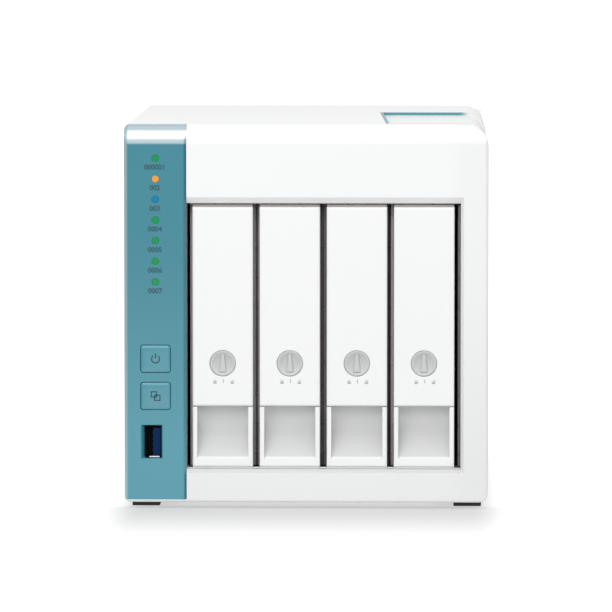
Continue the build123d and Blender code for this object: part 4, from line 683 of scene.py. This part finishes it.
# ------ front pieces
def add_key(builder, x, z, front, back):
    """Pillowed key cap with its rim and stem, built of rings from back to front."""
    rings = ((13.3, 12.3, 1.25, 4.2), (13.3, 12.3, 1.25, 1.1), (13.0, 12.0, 1.2, 1.0),
             (13.0, 12.0, 1.2, 0.62), (12.7, 11.7, 1.1, 0.42), (11.8, 10.8, 1.0, 0.20),
             (10.6, 9.6, 0.9, 0.08), (8.0, 7.2, 0.8, 0.05), (4.0, 3.6, 0.6, 0.05))
    add_loft(builder, [[(x + dx, front + depth, z + dz)
                        for dx, dz in rounded_outline(width, height, radius)]
                       for width, height, radius, depth in rings])
    add_slab(builder, (x - 7.0, front + 2.85, z - 6.5), (x + 7.0, front + 3.8, z + 6.5), 0.2)
    add_turned(builder, ((0.0, 3.6), (1.6, 3.6), (1.6, back - front - 0.3),
                         (1.3, back - front), (0.0, back - front)), (x, front, z), 24)


def make_keys():
    """Power and copy keys with plain signs on them."""
    for node, body in (("power_button", "power_key"), ("copy_button", "copy_key")):
        (_, front, _), (_, back, _) = box_mm(node)
        x, _, z = middle_of(node)
        builder, sign = bmesh.new(), bmesh.new()
        add_key(builder, x, z, front, back)
        make_piece(node + "_cap", builder, "key_teal", body, (node,))
        face, deep = front + 0.03, front + 0.12
        if body == "power_key":
            add_arc_band(sign, (x, z), 1.75, 0.55, 128.0, 412.0, face, deep, 30)
            add_bar(sign, x, z + 1.4, 0.28, 1.1, face, deep)
        else:
            for dx, dz in ((-0.75, 0.75), (0.75, -0.75)):
                for side in (1.16, -1.16):
                    add_bar(sign, x + dx, z + dz + side, 1.4, 0.24, face, deep)
                    add_bar(sign, x + dx + side, z + dz, 0.24, 0.92, face, deep)
        make_piece(node + "_sign", sign, "print_dark", body)


def make_panel_numbers():
    """A plain number under each lamp of the status panel."""
    x = middle_of("light_pipe_amber")[0] - 0.2
    front = box_mm("light_pipe_amber")[0][1]
    top = box_mm("light_pipes_green")[1][2]
    for lamp, words in enumerate(LAMP_NUMBERS):
        z = top - LAMP_TOP - LAMP_PITCH * lamp - NUMBER_DROP
        lettering(f"lamp_number_{lamp + 1}", words, 3.1, (x, front, z), "print_dark")


def make_front_socket():
    """Dark collar round the front socket's shell, its tongue, and its spring tabs; the collar and
    a sheet inside the mouth are black without gloss, partly painted shade of the socket's hollow.
    """
    x, z = FRONT_SOCKET
    collar, tongue, tabs = bmesh.new(), bmesh.new(), bmesh.new()
    for x0, z0, x1, z1 in ((-2.9, 6.15, 4.5, 7.0), (-2.9, -7.0, 4.5, -6.15),
                           (-2.9, -6.4, -2.2, 6.4), (3.9, -6.4, 4.5, 6.4)):
        add_slab(collar, (x + x0, -108.9, z + z0), (x + x1, -107.4, z + z1), 0.12)
    # Painted shade: a black sheet inside the socket's mouth, left of the tongue, where there is
    # only the hollow.
    add_slab(collar, (x - 2.3, -108.2, z - 6.2), (x + 0.5, -107.95, z + 6.2), 0.08, 1)
    make_piece("front_socket_collar", collar, "socket_black")
    add_slab(tongue, (x + 0.5, -108.6, z - 6.2), (x + 3.8, -107.95, z + 6.2), 0.15)
    for rib in (-3.75, -1.25, 1.25, 3.75):
        add_slab(tongue, (x + 0.2, -108.5, z + rib - 0.5), (x + 0.6, -108.0, z + rib + 0.5),
                 0.08, 1)
    make_piece("front_socket_tongue", tongue, "tongue_blue")
    add_slab(tabs, (x - 1.2, -109.1, z - 6.9), (x + 3.5, -108.5, z - 6.3), 0.15)
    for dz in (-3.2, 3.2):
        add_slab(tabs, (x + 2.2, -106.8, z + dz - 1.0), (x + 2.45, -101.0, z + dz + 1.0), 0.08)
    make_piece("front_socket_springs", tabs, "port_steel")


def add_padlock(builder, x, z, lift, face, deep):
    """Small padlock sign, its bow raised by lift."""
    add_bar(builder, x, z - 0.4, 0.75, 0.5, face, deep)
    add_arc_band(builder, (x + lift, z + 0.2 + lift / 3), 0.45, 0.26, 0.0, 180.0, face, deep, 10)


def make_lock(bay):
    """Turning lock of one bay with its stem and cam, and the signs below it."""
    (x0, front, _), (x1, back, top) = box_mm(f"tray_{bay}_lock")
    x, z = (x0 + x1) / 2, top - DIAL_DROP
    dial, marks = bmesh.new(), bmesh.new()
    bowl = [(0.0, 2.1), (5.5, 2.1), (5.66, 1.9), (5.66, 0.5), (5.6, 0.22), (5.35, 0.02),
            (4.95, 0.06), (4.5, 0.3), (3.9, 0.75), (3.1, 1.2), (2.0, 1.5), (0.0, 1.62)]
    add_turned(dial, bowl, (x, front, z), 64)
    grip = [(-0.8, 4.1), (0.8, 4.1), (1.1, 0.5), (2.0, -4.0), (-2.0, -4.0), (-1.1, 0.5)]
    add_loft(dial, [[(x + 0.78 * dx, front + 0.25 + (0.25 if dz > 0 else 0.0), z + 0.96 * dz)
                     for dx, dz in grip],
                    [(x + 1.1 * dx, front + 1.95, z + dz) for dx, dz in grip]])
    add_turned(dial, ((0.0, 1.9), (6.7, 1.9), (6.75, 2.0), (6.75, 3.0), (6.6, 3.1),
                      (3.0, 3.1), (3.0, back - front), (0.0, back - front)), (x, front, z))
    add_slab(dial, (x - 2.0, back - 1.4, z), (x + 2.0, back, z + DIAL_DROP), 0.3)
    make_piece(f"lock_dial_{bay}", dial, "lock_grey", f"bay_{bay}_lock",
               (f"tray_{bay}_lock",), 40.0)
    face = box_mm(f"tray_{bay}_handle")[0][1] - 0.02
    z -= MARKS_DROP
    add_padlock(marks, x - 3.4, z, 0.0, face, face + 0.06)
    add_padlock(marks, x + 4.2, z, 0.35, face, face + 0.06)
    add_bar(marks, x + 0.3, z + 0.2, 0.2, 0.8, face, face + 0.06)
    make_piece(f"lock_marks_{bay}", marks, "print_grey", f"bay_{bay}_handle")


def make_feet():
    """Four square rubber pads with a rim and ribs under them."""
    _, high = box_mm("feet")
    across, along, top = high[0] - FOOT_INSET, high[1] - FOOT_INSET, min(high[2], FOOT_TOP)
    pad = slab_form((-6.1, -6.1, 0.05), (6.1, 6.1, 2.85), 0.3, 3)
    add_turned(pad, ((0.0, 2.6), (2.0, 2.6), (2.0, top), (0.0, top)), ORIGIN, 24, "Z")
    rib = slab_form((-5.0, -0.7, 0.0), (5.0, 0.7, 0.8), 0.2)
    add_copies(pad, rib, row_of((-3.6, -1.2, 1.2, 3.6), 1), "black_rubber")
    builder = bmesh.new()
    add_copies(builder, pad, [(x, y, 0.0) for x in (-across, across) for y in (-along, along)],
               "black_rubber")
    make_piece("rubber_feet", builder, "black_rubber", replaced=("feet",))


def make_lip(name, slab, rib, spots, finish, body="enclosure"):
    """Lip in a gap, with a row of ribs; slab and rib give their corners."""
    builder = slab_form(*slab)
    add_copies(builder, slab_form(*rib, 0.1, 1), spots, finish)
    make_piece(name, builder, finish, body)


def make_tray_lips(bay):
    """Lips beside, above and below one tray's front, which close the gaps round it; those beside
    and above are toned as painted shade.
    """
    (x0, _, _), (x1, back, top) = box_mm(f"tray_{bay}_handle")
    tall = top + LIP_OVER - LIP_FOOT
    heights = [LIP_FOOT + 6.0 + step * (tall - 12.0) / 8 for step in range(9)]
    for start, reach, finish in SIDE_LIPS[bay]:
        side, edge = (("left", x0), ("right", x1))[reach > 0]
        left, right = sorted((edge + math.copysign(start, reach), edge + reach))
        make_lip(f"tray_lip_{side}_{start:.0f}_{bay}",
                 ((left, back + 0.4, LIP_FOOT), (right, back + 1.6, top + LIP_OVER), 0.2),
                 ((left, back + 0.1, -0.5), (right, back + 0.6, 0.5)),
                 row_of(heights), finish, f"bay_{bay}_tray")
    x0, x1 = x0 + 0.1, x1 - 0.1
    spots = row_of([x0 + 3.0 + step * (x1 - x0 - 6.0) / 3 for step in range(4)], 0)
    make_lip(f"mouth_lip_top_{bay}", ((x0, -106.3, 132.7), (x1, -105.4, 134.0), 0.15),
             ((-0.4, -105.6, 132.5), (0.4, -104.4, 133.6)), spots, "shade_lip_mid",
             f"bay_{bay}_handle")
    make_lip(f"mouth_lip_foot_{bay}", ((x0, -108.0, 18.02), (x1, -106.9, 18.38), 0.1),
             ((-0.4, -107.2, 18.02), (0.4, -105.6, 18.38)), spots, "white_plastic",
             f"bay_{bay}_tray")


def make_tunnel_lips():
    """Lips round the mouth of the bay tunnel, behind the bezel's edge; the side and top lips are
    toned as painted shade.
    """
    edges = [[corner[0] for corner in box_mm(f"tray_{bay}_handle")] for bay in BAYS]
    left, right = edges[0][0] - 2.6, edges[-1][1] + 2.8
    gaps = [(first[1] + 0.1, second[0] - 0.1) for first, second in zip(edges, edges[1:])]
    make_lip("tunnel_lip_side", ((right - 1.3, -103.5, 18.4), (right + 0.2, -102.3, 133.6), 0.25),
             ((right - 0.9, -103.9, -0.5), (right + 0.2, -103.2, 0.5)),
             row_of([24.0 + 12.9 * step for step in range(9)]), "shade_lip_brown")
    foot, top = bmesh.new(), bmesh.new()
    add_slab(foot, (left + 0.4, -108.0, 17.6), (right, -106.9, 17.95), 0.1)
    add_slab(top, (left + 1.5, -106.6, 134.33), (right, -105.6, 134.7), 0.1)
    for x0, x1 in gaps:
        add_slab(foot, (x0, -108.0, 17.6), (x1, -106.9, 18.25), 0.15)
        add_slab(top, (x0, -106.0, 134.3), (x1, -104.6, 134.7), 0.1)
    make_piece("tunnel_lip_foot", foot, "clip_white")
    make_piece("tunnel_lip_top", top, "shade_lip_grey")


# ------ rear pieces
def carve(builder, cutter):
    """Builder with the cutter's form taken out of it."""
    for source in (builder, cutter):
        bmesh.ops.recalc_face_normals(source, faces=source.faces)
    base, tool = hold("carve_base", builder), hold("carve_tool", cutter)
    cut = base.modifiers.new("cut", "BOOLEAN")
    cut.operation, cut.solver, cut.object = "DIFFERENCE", "EXACT", tool
    finished = bmesh.new()
    take_shape(finished, base, tool)
    return finished


def screw_form(length, head, radius=3.0, shank=1.45):
    """Cross-recess screw along Y, its head towards +Y and its seat at y = 0."""
    builder, cutter = bmesh.new(), bmesh.new()
    dome = ((0.0, -length), (shank * 0.6, -length), (shank, 0.6 - length), (shank, 0.0),
            (radius - 0.1, 0.0), (radius, 0.15), (radius, head * 0.35),
            (radius * 0.92, head * 0.62), (radius * 0.74, head * 0.84),
            (radius * 0.45, head * 0.96), (0.0, head))
    add_turned(builder, dome, ORIGIN, 32)
    arm, slot = radius * 0.58, radius * 0.13
    outline = [(slot, slot), (slot, arm), (-slot, arm), (-slot, slot), (-arm, slot),
               (-arm, -slot), (-slot, -slot), (-slot, -arm), (slot, -arm), (slot, -slot),
               (arm, -slot), (arm, slot)]
    add_plate(cutter, outline, head * 0.35, head + 1.0)
    return carve(builder, cutter)


def make_rear_screws():
    """Cross-recess screws that hold the fan and the rear panel."""
    for node in ("fan_screws", "case_screws"):
        low, high = box_mm(node)
        spots = [(x, SCREW_SEAT, z) for x in (low[0] + 3.0, high[0] - 3.0)
                 for z in (low[2] + 2.6, high[2] - 2.6)]
        builder = bmesh.new()
        add_copies(builder, screw_form(SCREW_LENGTH, SCREW_HEAD), spots, "screw_steel", 37.0)
        make_piece(f"{node}_turned", builder, "screw_steel", replaced=(node,))


def make_rear_sockets():
    """Contacts, liners, port lamps and sleeve of the sockets, and the numbers beside them."""
    low, high = box_mm("network_sockets")
    contacts, dark, sleeve = bmesh.new(), bmesh.new(), bmesh.new()
    face, inner, deep = high[1], low[0] + 1.2, high[1] - 11.0
    for z in NETWORK_ZS:
        pin = slab_form((inner - 0.02, deep, -0.22), (inner + 0.5, face - 2.2, 0.22), 0.08, 1)
        add_slab(pin, (inner + 0.3, deep, -0.22), (inner + 2.2, face - 10.4, 0.22), 0.08, 1)
        add_copies(contacts, pin, row_of([z + (step - 3.5) * NETWORK_PITCH for step in range(8)]),
                   "contact_gold")
        liner = ((6.9, 11.9, 0.6, 5.75, 5.95), (6.9, 11.9, 0.6, -5.95, -5.75),
                 (0.12, 11.9, 0.6, -5.9, 5.9), (6.9, 12.0, 11.7, -5.9, 5.9))
        for width, y0, y1, z0, z1 in liner:
            add_slab(dark, (inner, face - y0, z + z0), (inner + width, face - y1, z + z1), 0.04, 1)
    make_piece("network_liners", dark, "black_plastic")
    for x0, x1, y0, y1, middles in ((-62.12, -62.0, face - 8.0, face - 1.6, DATA_ZS),
                                    (-67.76, -67.66, -106.0, -99.0, FRONT_SOCKET[1:])):
        pin = slab_form((x0, y0, -0.5), (x1, y1, 0.5), 0.03, 1)
        add_copies(contacts, pin, row_of([z + (step - 1.5) * DATA_PITCH for z in middles
                                          for step in range(4)]), "contact_gold")
    make_piece("socket_contacts", contacts, "contact_gold")
    for finish, offset in (("light_green", 6.3), ("light_amber", -6.3)):
        lamps = bmesh.new()
        for z in NETWORK_ZS:
            add_slab(lamps, (-61.3, face - 0.4, z + offset - 0.9),
                     (-59.2, face + 0.06, z + offset + 0.9), 0.12)
        make_piece(f"port_lamps_{finish}", lamps, finish)
    x, _, z = middle_of("power_inlet")
    add_turned(sleeve, ((2.75, -8.0), (3.15, -8.0), (3.15, -0.4), (3.0, -0.2), (2.85, -0.4),
                        (2.75, -8.0)), (x, face, z), 40)
    add_turned(sleeve, ((0.0, -9.0), (0.95, -9.0), (0.95, -1.6), (0.6, -1.2), (0.0, -1.15)),
               (x, face, z), 24)
    make_piece("power_sleeve", sleeve, "port_steel")
    back = box_mm("rear_panel")[1][1]
    for step, z in enumerate(NETWORK_ZS + DATA_ZS):
        lettering(f"socket_number_{step + 1}", str(step % 2 + 1), 3.4, (75.4, -back, z),
                  "print_slate", turn=180.0)


def make_fan_details():
    """Hub disc with a raised ring, and ribs on the fan's frame."""
    x, _, z = middle_of("fan_rotor")
    back = box_mm("fan_rotor")[1][1]
    hub, ribs = bmesh.new(), bmesh.new()
    add_turned(hub, ((0.0, -0.5), (15.5, -0.5), (15.6, 0.02), (15.2, 0.12), (14.2, 0.12),
                     (13.9, 0.0), (4.2, 0.0), (3.9, 0.14), (2.6, 0.14), (2.3, -0.2),
                     (0.0, -0.2)), (x, back, z), 64)
    make_piece("fan_hub_disc", hub, "label_white", "fan")
    low, high = box_mm("fan_frame")
    for left in (low[0], high[0] - 0.25):
        rib = slab_form((left, low[1] + 4.5, -1.6), (left + 0.25, high[1] - 4.5, 1.6), 0.05, 1)
        add_copies(ribs, rib, row_of([z + step for step in (-22.0, -14.0, 14.0, 22.0)]),
                   "fan_black")
    make_piece("fan_frame_ribs", ribs, "fan_black")


# ------ drives and main board
def make_drive(bay):
    """Board, chips, motor, lid screws, printed label and connector of one drive."""
    body = f"bay_{bay}_tray"
    (x0, y0, z0), (x1, y1, z1) = box_mm(f"tray_{bay}_hard_drive")
    middle_y, middle_z = (y0 + y1) / 2, (z0 + z1) / 2
    board, chips, motor, screws, label, plug = [bmesh.new() for _ in range(6)]

    outline = [(y1 - 4.0, z0 + 4.0), (y1 - 4.0, z1 - 4.0), (y1 - 44.0, z1 - 4.0),
               (y1 - 47.0, z1 - 7.0), (y1 - 47.0, middle_z + 20.0), (y1 - 52.0, middle_z + 15.0),
               (y1 - 52.0, z0 + 12.0), (y1 - 44.0, z0 + 4.0)]
    add_loft(board, [[(x, y, z) for y, z in outline] for x in (x0 - 0.12, x0 + 0.6)])
    make_piece(f"drive_board_{bay}", board, "board_green", body)

    for y, z, width, height in DRIVE_CHIPS:
        add_slab_x(chips, x0 - 0.23, x0 - 0.05, y1 - y, z0 + z, width, height, 0.06)
    small = slab_form((x0 - 0.2, -0.95, -0.55), (x0 - 0.05, 0.95, 0.55), 0.04)
    add_copies(chips, small, [(0.0, y1 - 8.5 - 4.96 * (step % 7),
                               z0 + (14.0, 92.0)[step // 7] + 1.3 * (step % 3))
                              for step in range(14)], "black_plastic")
    make_piece(f"drive_chips_{bay}", chips, "black_plastic", body)

    add_turned(motor, ((0.0, 0.9), (15.0, 0.9), (15.0, 0.55), (13.6, 0.35), (10.2, 0.35),
                       (9.8, 0.1), (4.6, 0.1), (4.3, 0.4), (1.9, 0.4), (1.7, 0.15), (0.0, 0.15)),
               (x0, middle_y - 16.0, middle_z), 56, "X")
    make_piece(f"drive_motor_{bay}", motor, "zinc_steel", body)

    spots = [(0.0, y, z) for y, inset in ((y0 + 8.0, 8.0), (middle_y + 6.0, 7.1), (y1 - 8.0, 8.0))
             for z in (z0 + inset, z1 - inset)] + [(0.0, y0 + 49.5, middle_z + 31.0)]
    head = bmesh.new()
    add_turned(head, ((0.0, -0.25), (2.35, -0.25), (2.35, 0.02), (2.2, 0.14), (1.2, 0.17),
                      (1.05, 0.02), (0.0, 0.02)), (x1, 0.0, 0.0), 20, "X")
    add_copies(screws, head, spots, "screw_steel")
    make_piece(f"drive_screws_{bay}", screws, "screw_steel", body)

    add_slab_x(label, x1 - 0.05, x1 + 0.07, middle_y + 14.0, middle_z, 88.0, 66.0, 0.04)
    make_piece(f"drive_label_{bay}", label, "label_white", body)
    make_label_print(bay, x1 + 0.08, middle_y + 14.0, middle_z)

    pin = slab_form((x0 + 6.2, y1 - 2.35, -0.4), (x0 + 6.5, y1 - 0.4, 0.4), 0.05, 1)
    add_copies(plug, pin, row_of([z0 + 12.0 + step * 1.55 + (1.5 if step > 14 else 0.0)
                                  for step in range(22)]), "contact_gold")
    make_piece(f"drive_contacts_{bay}", plug, "contact_gold", body)


def make_label_print(bay, face, y, z):
    """Plain numbers, rules and a row of bars printed on a drive's label."""
    body = f"bay_{bay}_tray"
    for line, (words, size, dy, dz) in enumerate((("0001", 12.0, -22.0, 20.0),
                                                  ("000 001 002", 5.0, 17.0, 22.0))):
        lettering(f"label_number_{line + 1}_{bay}", words, size, (y + dy, -face, z + dz),
                  "print_slate", body, 90.0)
    rules = bmesh.new()
    for step, length in enumerate((80.0, 62.0, 70.0, 54.0)):
        add_slab_x(rules, face - 0.03, face + 0.02, y - 40.0 + length / 2, z + 8.0 - 4.2 * step,
                   length, (0.5, 1.3, 1.3, 1.3)[step])
    spot = y - 39.0
    for step in range(34):
        width = (0.6, 1.4, 0.9, 2.0, 0.6, 1.1, 1.7)[step % 7]
        add_slab_x(rules, face - 0.03, face + 0.02, spot + width / 2, z - 20.0, width, 13.0, 0.0)
        spot += width + (0.9, 0.7, 1.5)[step % 3]
    make_piece(f"label_rules_{bay}", rules, "print_slate", body)


def make_board_parts():
    """Chips and capacitors on the main board."""
    face = box_mm("main_board")[0][0]
    chips, cans, can = bmesh.new(), bmesh.new(), bmesh.new()
    for y, z, width, height in BOARD_CHIPS:
        add_slab_x(chips, face - 1.1, face + 0.1, y, z, width, height, 0.2)
    make_piece("board_chips", chips, "black_plastic")
    add_turned(can, ((0.0, 0.0), (3.1, 0.0), (3.2, -0.5), (3.0, -0.9), (3.2, -1.4),
                     (3.2, -6.8), (2.9, -7.2), (2.4, -7.2), (2.2, -7.05), (0.0, -7.05)),
               (face + 0.1, 0.0, 0.0), 28, "X")
    add_copies(cans, can, [(0.0, y, z) for y, z in BOARD_CANS], "heatsink_aluminium")
    make_piece("board_cans", cans, "heatsink_aluminium")


# ------ stage
def floor_material():
    """Pale ground: white to the camera away from the unit, with a painted soft shadow close to it.
    """
    material, tree, shader = new_material("studio_floor", Roughness=0.9,
                                          Specular_IOR_Level=0.0, Emission_Color=PURE_WHITE)
    place = object_coordinates(tree)
    rays = tree.nodes.new("ShaderNodeLightPath").outputs
    reach = length_after(tree, place, ("ABSOLUTE", ORIGIN), ("SUBTRACT", (0.072, 0.108, 0.0)),
                         ("MAXIMUM", ORIGIN), ("MULTIPLY", (7.0, 1.0, 0.0)))
    # Painted shadow: the camera sees the ground dimmer close to the unit, with painted light under
    # its front edge.
    near = ramp(tree, reach, 0.0, 140.0, NEAR_GLOW, FAR_GLOW)
    under = ramp(tree, split_place(tree, place)[1], -110.0, -96.0, 0.0, UNDER_GLOW)
    seen = combine(tree, "MULTIPLY", rays["Is Camera Ray"], combine(tree, "ADD", near, under))
    mirrored = combine(tree, "MULTIPLY", rays["Is Glossy Ray"],
                       ramp(tree, reach, 150.0, 2200.0, 1.0, 0.0))
    tone = add_node(tree, "ShaderNodeMapRange", {"To Min": 0.62, "To Max": 0.31})
    tree.links.new(rays["Is Camera Ray"], tone.inputs["Value"])
    tree.links.new(combine(tree, "ADD", seen, mirrored), shader.inputs["Emission Strength"])
    link(tree, (tone, "Result", shader, "Base Color"))
    return material


def make_stage():
    """Ground under the unit, a white world and three soft lamps."""
    builder = bmesh.new()
    bmesh.ops.create_grid(builder, x_segments=8, y_segments=8, size=30.0)
    floor = hold("studio_floor", builder)
    floor.data.materials.append(floor_material())

    world = bpy.data.worlds.new("studio_world")
    bpy.context.scene.world = world
    world.use_nodes = True
    tree = world.node_tree
    tree.nodes.clear()
    output = tree.nodes.new("ShaderNodeOutputWorld")
    mix = tree.nodes.new("ShaderNodeMixShader")
    for entry, strength in ((1, AMBIENT), (2, 1.0)):
        sky = add_node(tree, "ShaderNodeBackground", {"Color": PURE_WHITE, "Strength": strength})
        link(tree, (sky, "Background", mix, entry))
    rays = tree.nodes.new("ShaderNodeLightPath").outputs
    seen = combine(tree, "MAXIMUM", rays["Is Camera Ray"], rays["Is Transmission Ray"],
                   rays["Is Glossy Ray"])
    tree.links.new(seen, mix.inputs["Fac"])
    link(tree, (mix, "Shader", output, "Surface"))

    soft_lamp("front_lamp", (-0.28, -1.15, 0.92), 1.15, 9.0)
    soft_lamp("top_lamp", (0.2, -0.9, 1.9), 1.6, 4.2)
    soft_lamp("side_lamp", (1.3, -1.0, 0.7), 0.8, 1.6)


def soft_lamp(name, location, size, power):
    """Square area lamp aimed at the middle of the unit."""
    data = bpy.data.lights.new(name, "AREA")
    data.size, data.energy = size, power
    lamp = new_object(name, data)
    aim = Vector((0.0, 0.0, 0.08)) - Vector(location)
    lamp.location = location
    lamp.rotation_euler = aim.to_track_quat("-Z", "Y").to_euler()


make_camera()
bpy.context.scene.view_settings.view_transform = "Standard"
make_stage()
FINISH = make_finishes()
COPIES = copies_tree()
dress_nodes()
make_keys()
make_panel_numbers()
make_front_socket()
for bay in BAYS:
    make_lock(bay)
    make_tray_lips(bay)
    make_drive(bay)
make_tunnel_lips()
make_feet()
make_rear_screws()
make_rear_sockets()
make_fan_details()
make_board_parts()
